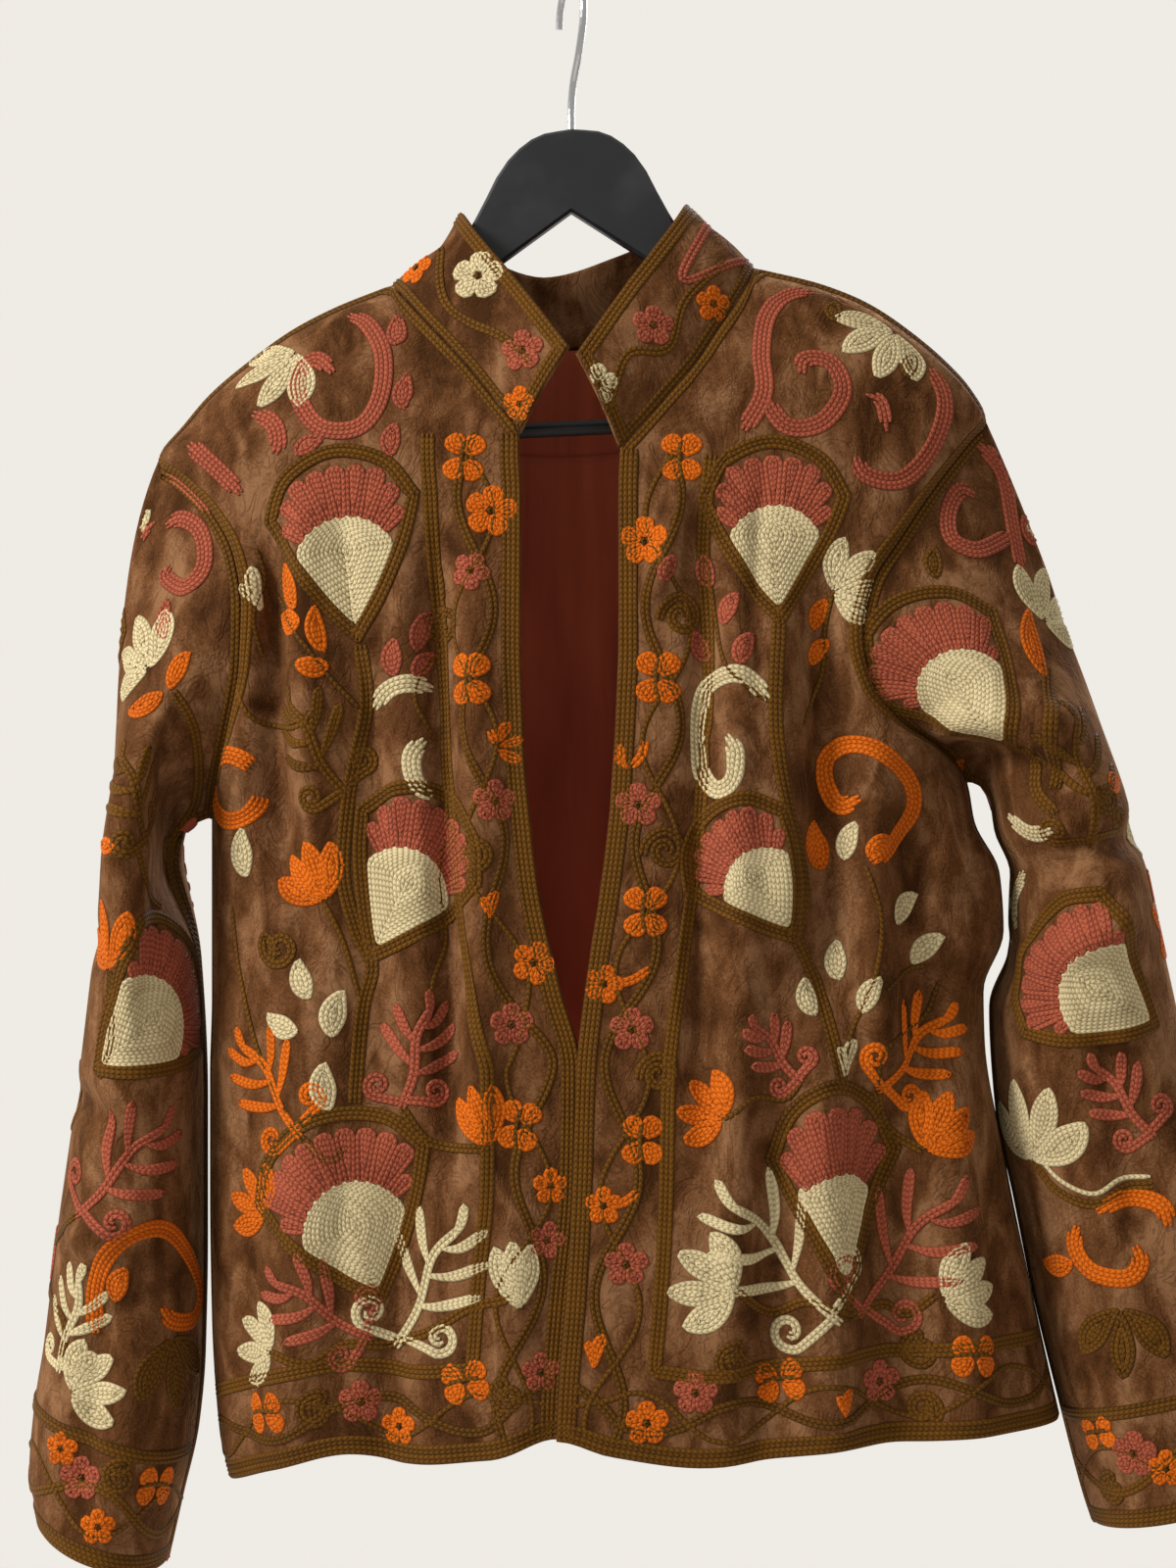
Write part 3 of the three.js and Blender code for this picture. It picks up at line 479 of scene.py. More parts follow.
def heights() -> Array:
    """Heights of the rows at a panel's side: hem to underarm, then underarm to shoulder point."""
    below = np.linspace(HEM_Z, UNDERARM_Z, ROWS_BELOW + 1)[:-1]
    return np.concatenate([below, np.linspace(UNDERARM_Z, SHOULDER_Z, ROWS_ABOVE + 1)])


def top_share() -> Array:
    """How far each row has taken the top edge's shape: 1 minus (1 minus t squared) to the power 3/4."""
    t = np.clip((np.arange(ROWS_BELOW + ROWS_ABOVE + 1) - ROWS_BELOW) / ROWS_ABOVE, 0, 1)
    return 1 - (1 - t * t) ** 0.75


@dataclass(frozen=True)
class Outline:
    """One front's outline and depth by height."""

    table: Table
    sign: int
    neck_z: float

    def edge_x(self, z: Array) -> Array:
        """The front edge's x, and above the neck point the neckline's."""
        return self.sign * self.table.curve("edge")(z)

    def side_x(self, z: Array) -> Array:
        """The side seam's x, then the armhole's, then the shoulder seam's."""
        return self.sign * self.table.curve("side")(z)

    def depth(self, x: Array, z: Array) -> Array:
        """How far back the front's cloth is: a rounded oval from the side's depth to the edge's.

        Args:
            x: the points' x.
            z: the points' z.

        Returns:
            Their y.
        """
        edge, side = self.table.curve("edge")(z), self.table.curve("side")(z)
        reach = np.clip((self.sign * x - edge) / np.maximum(side - edge, 0.1), 0, 1)
        n = SQUARENESS.curve("front")(z)
        fullness = (1 - reach**n) ** (1 / n)
        rim = self.table.curve("side_depth")(z)
        return -(rim + (self.table.curve("edge_depth")(z) - rim) * fullness)

    def top_rise(self, x: Array) -> Array:
        """The top edge's height above the shoulder point, found by halving the height's range.

        Args:
            x: the points' x.

        Returns:
            The height at each.
        """
        on_shoulder = self.sign * x > self.sign * self.edge_x(NECK_Z)
        low = np.where(on_shoulder, SHOULDER_Z, self.neck_z)
        high = np.full_like(low, NECK_Z)
        for _ in range(TOP_HALVINGS):
            z = (low + high) / 2
            line = np.where(on_shoulder, self.side_x(z), self.edge_x(z))
            below = np.where(on_shoulder, self.sign * x < self.sign * line, self.sign * x > self.sign * line)
            low, high = np.where(below, z, low), np.where(below, high, z)
        return low - SHOULDER_Z

    def grid(self) -> Array:
        """The front's outer face: rows from hem to top edge, columns from front edge to side.

        Returns:
            (rows, columns, 3) points. Columns are even between the front edge and the column that
            ends at the neck point, and even between that one and the side.
        """
        top_x0 = float(self.edge_x(np.array(self.neck_z)))
        top_x1 = float(self.side_x(np.array(SHOULDER_Z)))
        neck_share = (float(self.edge_x(np.array(NECK_Z))) - top_x0) / (top_x1 - top_x0)
        row_z, row_top = heights()[:, None], top_share()[:, None]
        hem0, hem1 = self.edge_x(np.array(HEM_Z)), self.side_x(np.array(HEM_Z))

        def line(start: float, end: float) -> Array:
            """Many points of every row.

            Args:
                start: where they begin, as a share of the row's width.
                end: where they end.

            Returns:
                (rows, 81, 3) points.
            """
            share = np.linspace(start, end, 81)[None, :]
            edge_z = row_z + row_top * (self.neck_z - SHOULDER_Z)
            x = lerp(self.edge_x(edge_z), self.side_x(row_z), share)
            z0 = row_z + row_top * self.top_rise(lerp(top_x0, top_x1, share))
            calm = smooth(1 - (z0 - HEM_Z) / HEM_REACH)
            z = z0 + FRONT_HEM.curve("rise")(lerp(hem0, hem1, share)) * calm
            return np.stack([x, self.depth(x, z0), z], axis=-1)

        neck = evenly(line(0, neck_share), NECK_CELLS)
        return np.concatenate([neck[:, :-1], evenly(line(neck_share, 1), SHOULDER_CELLS)], axis=1)


LEFT = Outline(FRONT_LEFT, -1, -241.0)
RIGHT = Outline(FRONT_RIGHT, 1, -250.0)


def back_grid() -> Array:
    """The back's outer face: rows from hem to top edge, columns from the left side to the right.

    Its depth is a rounded oval between the two side outlines, and its top edge follows both shoulder
    seams and sags between the two neck points.

    Returns:
        (rows, columns, 3) points.
    """
    neck = np.array([LEFT.edge_x(NECK_Z), RIGHT.edge_x(NECK_Z)], dtype=float)
    end = np.array([LEFT.side_x(SHOULDER_Z), RIGHT.side_x(SHOULDER_Z)], dtype=float)
    shares = (neck - end[0]) / (end[1] - end[0])
    row_z, row_top = heights()[:, None], top_share()[:, None]

    def rise(x: Array) -> Array:
        """The top edge's height above the shoulder points.

        Args:
            x: the points' x.

        Returns:
            The height at each.
        """
        middle = np.abs((2 * x - neck[0] - neck[1]) / (neck[1] - neck[0]))
        sag = NECK_Z - SHOULDER_Z - BACK_NECK_DROP * (1 - np.minimum(middle, 1) ** 2.4)
        seam = np.where(x < 0, LEFT.top_rise(x), RIGHT.top_rise(x))
        return np.where(middle < 1, sag, seam)

    def line(start: float, stop: float) -> Array:
        """Many points of every row.

        Args:
            start: where they begin, as a share of the row's width.
            stop: where they end.

        Returns:
            (rows, 121, 3) points.
        """
        share = np.linspace(start, stop, 121)[None, :]
        left, right = LEFT.side_x(row_z), RIGHT.side_x(row_z)
        x = lerp(left, right, share)
        z0 = row_z + row_top * rise(lerp(end[0], end[1], share))
        calm = smooth(1 - (z0 - HEM_Z) / HEM_REACH)
        hem_x = lerp(LEFT.side_x(np.array(HEM_Z)), RIGHT.side_x(np.array(HEM_Z)), share)
        z = z0 + BACK_HEM.curve("rise")(hem_x) * calm
        left, right = LEFT.side_x(z0), RIGHT.side_x(z0)
        reach = np.abs((2 * x - left - right) / np.maximum(right - left, 0.1))
        n = SQUARENESS.curve("back")(z0)
        fullness = (1 - np.clip(reach, 0, 1) ** n) ** (1 / n)
        rim = BACK.curve("armhole")(z0)
        return np.stack([x, rim + (BACK.curve("middle")(z0) - rim) * fullness, z], axis=-1)

    parts = [
        evenly(line(0, shares[0]), SHOULDER_CELLS)[:, :-1],
        evenly(line(shares[0], shares[1]), BACK_NECK_CELLS)[:, :-1],
        evenly(line(shares[1], 1), SHOULDER_CELLS),
    ]
    return np.concatenate(parts, axis=1)


def sleeve_rings(table: Table, z: Array, cells: int) -> Array:
    """Rings of a sleeve: ellipses that lean with x and dip with y.

    Args:
        table: the sleeve's sizes by height.
        z: the rings' heights.
        cells: how many even steps go round a ring.

    Returns:
        (rings, cells, 3) points, each ring from its outer side round by the front.
    """
    size = {name: table.curve(name)(z)[:, None] for name in table.names.split()[1:]}
    angle = np.linspace(0, 2 * math.pi, 241)[None, :]
    x = (size["outer"] - size["inner"]) / 2 * np.cos(angle)
    y = -size["half_depth"] * np.sin(angle)
    middle = (size["outer"] + size["inner"]) / 2
    ring = [middle + x, size["middle_y"] + y, z[:, None] + size["lean"] * x + size["dip"] * y]
    return evenly(np.stack(ring, axis=-1), cells)[:, :-1]


def sleeve_grid(table: Table, loop: Array, sign: int) -> Array:
    """A sleeve's outer face: rows from the armhole to the cuff, columns round from the shoulder point.

    The cap is a cubic from each armhole point, leaving outwards at the underarm and downwards at the
    shoulder, to the first ring, and arriving along the next one.

    Args:
        table: the sleeve's sizes by height.
        loop: the armhole's points, from the shoulder point down the front and up the back.
        sign: -1 for the sleeve at the viewer's left, 1 for the right.

    Returns:
        (rows, columns, 3) points.
    """
    z = np.array([row[0] for row in table.rows], dtype=float)
    first, cuff = z.max(), z.min()
    top, following = sleeve_rings(table, np.array([first, first - 20]), len(loop))
    s = np.arange(CAP_ROWS)[:, None, None] / CAP_ROWS
    chord = np.linalg.norm(top - loop, axis=1)[:, None]
    height = np.clip((loop[:, 2] - UNDERARM_Z) / (SHOULDER_Z - UNDERARM_Z), 0, 1)
    flat = np.zeros_like(height)
    leave = np.stack([sign * lerp(1, 0.4, height), flat, lerp(0.25, -0.9, height)], axis=-1) * 0.9 * chord
    arrive = following - top
    arrive = arrive / np.linalg.norm(arrive, axis=1)[:, None] * chord
    soft = s * s * (3 - 2 * s)
    cap = loop * (1 - soft) + leave * s * (1 - s) ** 2 + top * soft + arrive * s * s * (s - 1)
    rings = sleeve_rings(table, np.linspace(first, cuff, SLEEVE_ROWS + 1), len(loop))
    return np.concatenate([cap, rings])


def collar_grid(neckline: Array) -> Array:
    """The collar's outer face: rows from the neckline to its upper edge, with a soft bulge between.

    Args:
        neckline: (columns, 3) points from the left front round the back to the right front.

    Returns:
        (rows, columns, 3) points.
    """
    length = lengths(neckline)
    share = length / length[-1]
    top = np.stack([COLLAR_TOP.curve(name)(share) for name in "xyz"], axis=-1)
    out = neckline * np.array([1 / 93, 1 / 40, 0])
    out /= np.linalg.norm(out, axis=1)[:, None]
    t = np.linspace(0, 1, COLLAR_ROWS + 1)[:, None, None]
    return lerp(neckline[None], top[None], t) + COLLAR_BULGE * np.sin(math.pi * t) * out[None]


def read_grid(values: Array, place: Array) -> Array:
    """Reads a grid between its points, by the two-way straight mean of the cell's four corners.

    Args:
        values: (rows, columns, k) numbers.
        place: (count, 2) rows and columns as decimals.

    Returns:
        (count, k) numbers.
    """
    last = np.array(values.shape[:2]) - 2
    cell = np.clip(np.floor(place).astype(int), 0, last)
    t, s = (place - cell).T[:, :, None]
    i, j = cell.T
    low = lerp(values[i, j], values[i, j + 1], s)
    high = lerp(values[i + 1, j], values[i + 1, j + 1], s)
    return lerp(low, high, t)


def find_place(plane: Array, points: Array) -> tuple[Array, Array]:
    """Finds where on a grid flat points lie.

    It starts at the nearest grid point in every fourth row and third column and takes Newton steps,
    each solving the two straight equations of the cell that it is in.

    Args:
        plane: (rows, columns, 2) flat coordinates of the grid.
        points: (count, 2) flat coordinates to find.

    Returns:
        (count, 2) rows and columns as decimals, and the distance that each is off.
    """
    rows, columns = plane.shape[:2]
    pick_i, pick_j = np.arange(0, rows, 4), np.arange(0, columns, 3)
    seeds = plane[np.ix_(pick_i, pick_j)].reshape(-1, 2)
    index = np.concatenate(
        [
            np.argmin(((part[:, None] - seeds[None]) ** 2).sum(axis=2), axis=1)
            for part in np.array_split(points, max(1, len(points) // 4000))
        ]
    )
    place = np.stack([pick_i[index // len(pick_j)], pick_j[index % len(pick_j)]], axis=-1).astype(float)
    limit = np.array([rows - 1, columns - 1], dtype=float)
    for _ in range(PLACE_STEPS):
        cell = np.clip(np.floor(place).astype(int), 0, np.array([rows - 2, columns - 2]))
        t, s = (place - cell).T[:, :, None]
        i, j = cell.T
        a, b, c, d = plane[i, j], plane[i, j + 1], plane[i + 1, j], plane[i + 1, j + 1]
        off = points - lerp(lerp(a, b, s), lerp(c, d, s), t)
        by_row, by_column = lerp(c - a, d - b, s), lerp(b - a, d - c, t)
        area = by_row[:, 0] * by_column[:, 1] - by_row[:, 1] * by_column[:, 0]
        area = np.where(np.abs(area) < 1e-6, 1e-6, area)
        step_row = (off[:, 0] * by_column[:, 1] - off[:, 1] * by_column[:, 0]) / area
        step_column = (by_row[:, 0] * off[:, 1] - by_row[:, 1] * off[:, 0]) / area
        step = np.clip(np.stack([step_row, step_column], axis=-1), -3, 3)
        place = np.clip(place + step, 0, limit)
    return place, np.linalg.norm(points - read_grid(plane, place), axis=1)


def laid_flat(grid: Array, start: Array) -> Array:
    """Lays a grid flat, keeping the lengths of its cells' sides and diagonals as well as it can.

    It works on a coarse part of the grid first and then on finer ones. In each round every length
    moves its two ends half of the way that would mend it, and a point takes the mean of its moves,
    times a push that gets it there sooner.

    Args:
        grid: (rows, columns, 3) points on the cloth.
        start: (rows, columns, 2) a first guess.

    Returns:
        (rows, columns, 2) flat coordinates in millimetres.
    """
    flat = start
    for stride, rounds in FLAT_ROUNDS:
        counts = [max(4, n // stride) for n in grid.shape[:2]]
        pick = [np.unique(np.linspace(0, n - 1, k).round().astype(int)) for n, k in zip(grid.shape, counts)]
        coarse, laid = grid[np.ix_(*pick)], flat[np.ix_(*pick)]
        every, head, tail = slice(None), slice(None, -1), slice(1, None)
        pairs = [
            ((every, head), (every, tail)),
            ((head, every), (tail, every)),
            ((head, head), (tail, tail)),
            ((head, tail), (tail, head)),
        ]
        wanted = [np.linalg.norm(coarse[q] - coarse[p], axis=2)[..., None] for p, q in pairs]
        count = np.zeros(laid.shape[:2] + (1,))
        for p, q in pairs:
            count[p] += 1
            count[q] += 1
        for _ in range(rounds):
            move = np.zeros_like(laid)
            for (p, q), want in zip(pairs, wanted):
                gap = laid[q] - laid[p]
                mend = gap * (1 - want / np.maximum(np.linalg.norm(gap, axis=2, keepdims=True), 1e-6))
                move[p] += mend / 2
                move[q] -= mend / 2
            laid = laid + FLAT_PUSH * move / count
        place = [np.interp(np.arange(n), p, np.arange(len(p))) for n, p in zip(grid.shape[:2], pick)]
        wide = np.stack(np.meshgrid(*place, indexing="ij"), axis=-1).reshape(-1, 2)
        flat = read_grid(laid, wide).reshape(grid.shape[:2] + (2,))
    return flat


def photo_plane(points: Array, from_front: bool) -> Array:
    """The pixels of the photograph at points.

    Args:
        points: (..., 3) points.
        from_front: whether they are seen as the photograph does, or else without perspective.

    Returns:
        (..., 2) pixels.
    """
    shrink = EYE_DISTANCE / (EYE_DISTANCE + points[..., 1]) if from_front else 1.0
    x = EYE_X + (points[..., 0] - EYE_X) * shrink
    z = EYE_Z + (points[..., 2] - EYE_Z) * shrink
    return np.stack([x / PIXEL + PHOTO_X, -z / PIXEL + PHOTO_Y], axis=-1)


@dataclass
class Cloth:
    """A cut piece of cloth: its outer face on a grid, its flat cut, and its mesh."""

    name: str
    grid: Array
    facing: int
    closed: bool = False
    normals: Array = field(init=False)
    flat: Array = field(init=False)

    def settle(self, folds: Array, calm: Array) -> None:
        """Moves the cloth out or in along its normals by the folds, times how free it is there."""
        normals = grid_normals(self.grid, self.closed, self.facing)
        self.grid = self.grid + normals * (folds * calm)[..., None]

    def finish_shape(self) -> None:
        """Gives the cloth its final normals and its flat cut."""
        self.normals = grid_normals(self.grid, self.closed, self.facing)
        step = np.linalg.norm(np.diff(self.grid, axis=1), axis=2)
        along = np.concatenate([np.zeros((len(self.grid), 1)), np.cumsum(step, axis=1)], axis=1)
        rise = np.linalg.norm(np.diff(self.grid, axis=0), axis=2)
        up = np.concatenate([np.zeros((1, self.grid.shape[1])), np.cumsum(rise, axis=0)])
        if self.closed:
            middle = self.grid.shape[1] // 2
            start = np.stack([along - along[:, middle : middle + 1], up[-1:] - up], axis=-1)
        elif self.name == "collar":
            start = np.stack([along - along[:, -1:] / 2, up], axis=-1)
        else:
            sign = -1 if self.name == "front_left" else 1
            start = np.stack([self.grid[:, :1, 0] + sign * along, self.grid[..., 2]], axis=-1)
        self.flat = laid_flat(self.grid, start)

    def cut_size(self) -> tuple[tuple[float, float], float]:
        """Measures the flat cut: each cell's area is half its diagonals' cross product.

        Returns:
            Its width and length, and its area, in metres.
        """
        size = np.ptp(self.flat.reshape(-1, 2), axis=0) / 1000
        a, b = self.flat[1:, 1:] - self.flat[:-1, :-1], self.flat[1:, :-1] - self.flat[:-1, 1:]
        area = np.abs(a[..., 0] * b[..., 1] - a[..., 1] * b[..., 0]).sum() / 2e6
        return (float(size[0]), float(size[1])), float(area)

    def point(self, flat: Array, lift: Array) -> tuple[Array, Array]:
        """Points a small height above the cloth.

        Args:
            flat: (count, 2) flat coordinates.
            lift: (count,) heights above the outer face.

        Returns:
            (count, 3) points, and how far off the cloth each flat one is.
        """
        place, off = find_place(self.flat, flat)
        normal = read_grid(self.normals, place)
        return read_grid(self.grid, place) + normal * lift[:, None], off

    def spots(self, pixels: Array, from_front: bool = True, columns: slice | None = None) -> Array:
        """Flat coordinates of pixels.

        Args:
            pixels: (count, 2) pixels.
            from_front: whether they are seen from the front.
            columns: the columns that they lie on; a closed piece takes the half that faces them.

        Returns:
            (count, 2) flat points.
        """
        if columns is None:
            columns = slice(None)
        if self.closed:
            half = self.grid.shape[1] // 2
            columns = slice(half, None) if from_front else slice(0, half + 1)
        plane = photo_plane(self.grid[:, columns], from_front)
        place, _ = find_place(plane, np.atleast_2d(np.asarray(pixels, dtype=float)))
        return read_grid(self.flat[:, columns], place)

    def build(self, wall: float, slot_names: tuple[str, ...], finishes: tuple) -> bpy.types.Object:
        """Makes the piece as a wall of cloth inside its outer face.

        Args:
            wall: the cloth's thickness in millimetres.
            slot_names: not used.
            finishes: materials of the outer face and, where given, of the inner one.

        Returns:
            The new object.
        """
        rows, columns = self.grid.shape[:2]
        used = columns - 1 if self.closed else columns
        number = np.arange(rows * used).reshape(rows, used)
        if self.closed:
            number = np.concatenate([number, number[:, :1]], axis=1)
        a, b = number[:-1, :-1], number[:-1, 1:]
        c, d = number[1:, 1:], number[1:, :-1]
        quads = np.stack([a, b, c, d] if self.facing > 0 else [a, d, c, b], axis=-1).reshape(-1, 4)
        made = solid_mesh("cloth_" + self.name, self.grid[:, :used].reshape(-1, 3), quads)
        for finish in finishes:
            made.data.materials.append(finish)
        thick = made.modifiers.new("wall", "SOLIDIFY")
        thick.thickness = wall / 1000
        thick.offset = -1
        thick.use_even_offset = False
        if len(finishes) > 1:
            thick.material_offset = 1
        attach(made, "root")
        return made


def solid_mesh(name: str, points: Array, quads: Array) -> bpy.types.Object:
    """Puts points in millimetres and four-cornered faces into a smooth mesh object at the origin.

    Args:
        name: the object's name.
        points: (count, 3) corners.
        quads: (faces, 4) corner numbers.

    Returns:
        The new object, linked to the scene.
    """
    mesh = bpy.data.meshes.new(name)
    mesh.vertices.add(len(points))
    mesh.vertices.foreach_set("co", (points / 1000).astype(np.float32).ravel())
    mesh.loops.add(quads.size)
    mesh.loops.foreach_set("vertex_index", quads.astype(np.int32).ravel())
    mesh.polygons.add(len(quads))
    mesh.polygons.foreach_set("loop_start", np.arange(0, quads.size, 4, dtype=np.int32))
    mesh.polygons.foreach_set("use_smooth", np.ones(len(quads), dtype=bool))
    mesh.update(calc_edges=True)
    mesh.validate()
    made = bpy.data.objects.new(name, mesh)
    bpy.context.scene.collection.objects.link(made)
    return made


def colour(red: float, green: float, blue: float) -> tuple[float, float, float, float]:
    """A colour given as it looks on a screen, in Blender's straight-line light.

    Args:
        red: its red, from 0 to 255.
        green: its green.
        blue: its blue.

    Returns:
        Its four numbers, the last one 1.
    """
    share = np.array([red, green, blue]) / 255
    light = np.where(share <= 0.04045, share / 12.92, ((share + 0.055) / 1.055) ** 2.4)
    return (*map(float, light), 1.0)


Socket = bpy.types.NodeSocket


class Graph:
    """A material's nodes, made and joined in single steps."""

    def __init__(self, name: str) -> None:
        """Starts a material with a surface shader and its output.

        Args:
            name: the material's name.
        """
        self.material = bpy.data.materials.new(name)
        self.material.use_nodes = True
        self.nodes = self.material.node_tree.nodes
        self.links = self.material.node_tree.links
        self.shader = next(node for node in self.nodes if node.type == "BSDF_PRINCIPLED")

    def node(
        self, kind: str, inputs: dict[str | int, object] | None = None, **settings: object
    ) -> bpy.types.Node:
        """Adds a node.

        Args:
            kind: Blender's node type.
            inputs: sockets by name or number, each a number, a colour or another node's socket.
            **settings: the node's own properties.

        Returns:
            The new node.
        """
        made = self.nodes.new(kind)
        for key, value in settings.items():
            setattr(made, key, value)
        for key, value in (inputs or {}).items():
            self.put(made.inputs[key], value)
        return made

    def put(self, socket: Socket, value: object) -> None:
        """Joins a socket to another one, or sets its value.

        Args:
            socket: the input to set.
            value: another node's output, a number or a colour.
        """
        if isinstance(value, bpy.types.NodeSocket):
            self.links.new(value, socket)
        else:
            socket.default_value = value

    def maths(self, operation: str, *values: object) -> Socket:
        """Adds a Math node.

        Args:
            operation: Blender's name of the sum.
            *values: its numbers or sockets.

        Returns:
            The node's result.
        """
        made = self.nodes.new("ShaderNodeMath")
        made.operation = operation
        for socket, value in zip(made.inputs, values):
            self.put(socket, value)
        return made.outputs[0]

    def noise(
        self, vector: Socket, scale: float, detail: float = 2.0, distortion: float = 0.0, rough: float = 0.5
    ) -> Socket:
        """Adds cloudy noise.

        Args:
            vector: where it is read.
            scale: how many clouds there are to a metre.
            detail: how many finer layers lie on it.
            distortion: how far the layers push each other aside.
            rough: how strong each finer layer is.

        Returns:
            The noise, from 0 to 1.
        """
        inputs = {"Vector": vector, "Scale": scale, "Detail": detail}
        inputs |= {"Distortion": distortion, "Roughness": rough}
        return self.node("ShaderNodeTexNoise", inputs).outputs["Fac"]

    def stretched(self, vector: Socket, scale: tuple[float, float, float]) -> Socket:
        """A vector with each direction scaled."""
        return self.node("ShaderNodeMapping", {"Vector": vector, "Scale": scale}).outputs[0]

    def ramp(self, factor: Socket, stops: tuple[tuple[float, tuple], ...]) -> Socket:
        """Adds a colour ramp.

        Args:
            factor: where on the ramp the colour is read.
            stops: the place and colour of each stop, in order.

        Returns:
            The colour.
        """
        made = self.node("ShaderNodeValToRGB", {"Fac": factor})
        bar = made.color_ramp
        while len(bar.elements) < len(stops):
            bar.elements.new(1.0)
        for element, (place, shade) in zip(bar.elements, stops):
            element.position = place
            element.color = shade
        return made.outputs[0]

    def mixed(self, factor: Socket, first: object, second: object) -> Socket:
        """Adds a mix of two colours.

        Args:
            factor: the second one's share.
            first: a colour or a socket.
            second: a colour or a socket.

        Returns:
            The colour.
        """
        made = self.node("ShaderNodeMix", data_type="RGBA")
        for socket, value in zip((made.inputs[0], made.inputs[6], made.inputs[7]), (factor, first, second)):
            self.put(socket, value)
        return made.outputs[2]

    def bump(self, height: Socket, strength: float, distance: float, normal: Socket | None = None) -> Socket:
        """Adds a bump.

        Args:
            height: the relief, from 0 to 1.
            strength: how much of it shows.
            distance: its height in metres.
            normal: the coarser bump that it lies on.

        Returns:
            The bumped normal.
        """
        inputs = {"Height": height, "Strength": strength, "Distance": distance}
        if normal is not None:
            inputs["Normal"] = normal
        return self.node("ShaderNodeBump", inputs).outputs[0]


@dataclass(frozen=True)
class CrushedVelvet:
    """Taupe velvet whose nap lies in crushed patches, lit where it stands and dark where it leans."""

    lit: tuple = colour(136, 96, 64)
    middle: tuple = colour(98, 61, 33)
    dark: tuple = colour(62, 35, 13)

    def material(self) -> bpy.types.Material:
        """Makes the velvet's material.

        The nap's lie is a long soft noise run down the cloth, broken by a smaller one; it paints the
        velvet's sheen as colour between dark and lit, and a fine grain of pile breaks it up. Thin dark
        lines, where a third noise passes its middle value, are painted shade in the creases of crushing.

        Returns:
            The new material.
        """
        g = Graph("crushed velvet")
        place = g.node("ShaderNodeTexCoord").outputs["Object"]
        streak = g.noise(g.stretched(place, (1.0, 1.0, 0.45)), 66.0, 2.5, 0.7, 0.5)
        patch = g.noise(g.stretched(place, (1.0, 1.0, 0.6)), 21.0, 3.0, 0.6, 0.6)
        pile = g.noise(place, 900.0, 2.0)
        lie = g.maths("ADD", g.maths("MULTIPLY", streak, 0.5), g.maths("MULTIPLY", patch, 0.5))
        bend = g.noise(g.stretched(place, (1.0, 1.0, 0.7)), 46.0, 3.0, 0.55, 0.9)
        off_middle = g.maths("ABSOLUTE", g.maths("ADD", bend, -0.5), 0.0)
        crush_crease_shade = g.maths("MAXIMUM", g.maths("MULTIPLY_ADD", off_middle, -22.0, 1.0), 0.0)
        speck = g.maths("MULTIPLY_ADD", pile, 0.22, -0.11)
        # Painted sheen: the nap's lie sets lit and dark patches in the base colour.
        shade = g.ramp(
            g.maths("ADD", lie, speck), ((0.37, self.dark), (0.49, self.middle), (0.62, self.lit))
        )
        # Painted shade: the crush creases pull the base colour towards dark.
        g.put(g.shader.inputs["Base Color"], g.mixed(g.maths("MULTIPLY", crush_crease_shade, 0.3), shade, self.dark))
        g.shader.inputs["Roughness"].default_value = 0.78
        g.shader.inputs["Specular IOR Level"].default_value = 0.05
        g.shader.inputs["Sheen Weight"].default_value = 0.4
        g.shader.inputs["Sheen Roughness"].default_value = 0.34
        g.shader.inputs["Sheen Tint"].default_value = colour(212, 158, 108)
        coarse = g.bump(g.maths("MULTIPLY_ADD", crush_crease_shade, -0.1, lie), 0.75, 0.004)
        g.put(g.shader.inputs["Normal"], g.bump(pile, 0.3, 0.0004, coarse))
        return g.material


@dataclass(frozen=True)
class CottonLining:
    """Rust cotton with a fine plain weave and soft pressed creases, with painted light and shade along the
    creases.
    """

    shade: tuple = colour(158, 66, 42)
    pale_tone: tuple = colour(206, 100, 68)

    def material(self) -> bpy.types.Material:
        """Makes the lining's material: two crossed fine waves for the weave over long soft creases, which
        also paint light and shade into the colour.

        Returns:
            The new material.
        """
        g = Graph("rust cotton")
        place = g.node("ShaderNodeTexCoord").outputs["Object"]
        crease = g.noise(g.stretched(place, (1.0, 1.0, 0.14)), 30.0, 3.0, 0.7, 0.5)
        cloud = g.noise(place, 9.0, 2.0)
        warp = g.node(
            "ShaderNodeTexWave", {"Vector": place, "Scale": 520.0}, bands_direction="X", wave_type="BANDS"
        ).outputs["Fac"]
        weft = g.node(
            "ShaderNodeTexWave", {"Vector": place, "Scale": 520.0}, bands_direction="Z", wave_type="BANDS"
        ).outputs["Fac"]
        weave = g.maths("MULTIPLY", warp, weft)
        # Painted light and shade: the creases make the colour paler on their ridges and darker in their
        # troughs, with some random cloud.
        tone = g.maths("ADD", g.maths("MULTIPLY", crease, 0.7), g.maths("MULTIPLY", cloud, 0.3))
        base = g.ramp(tone, ((0.3, self.shade), (0.7, self.pale_tone)))
        g.put(g.shader.inputs["Base Color"], g.mixed(g.maths("MULTIPLY", weave, 0.18), base, (0, 0, 0, 1)))
        g.shader.inputs["Roughness"].default_value = 0.82
        g.shader.inputs["Specular IOR Level"].default_value = 0.2
        g.shader.inputs["Sheen Weight"].default_value = 0.15
        g.put(g.shader.inputs["Normal"], g.bump(weave, 0.25, 0.0003, g.bump(crease, 0.9, 0.009)))
        return g.material


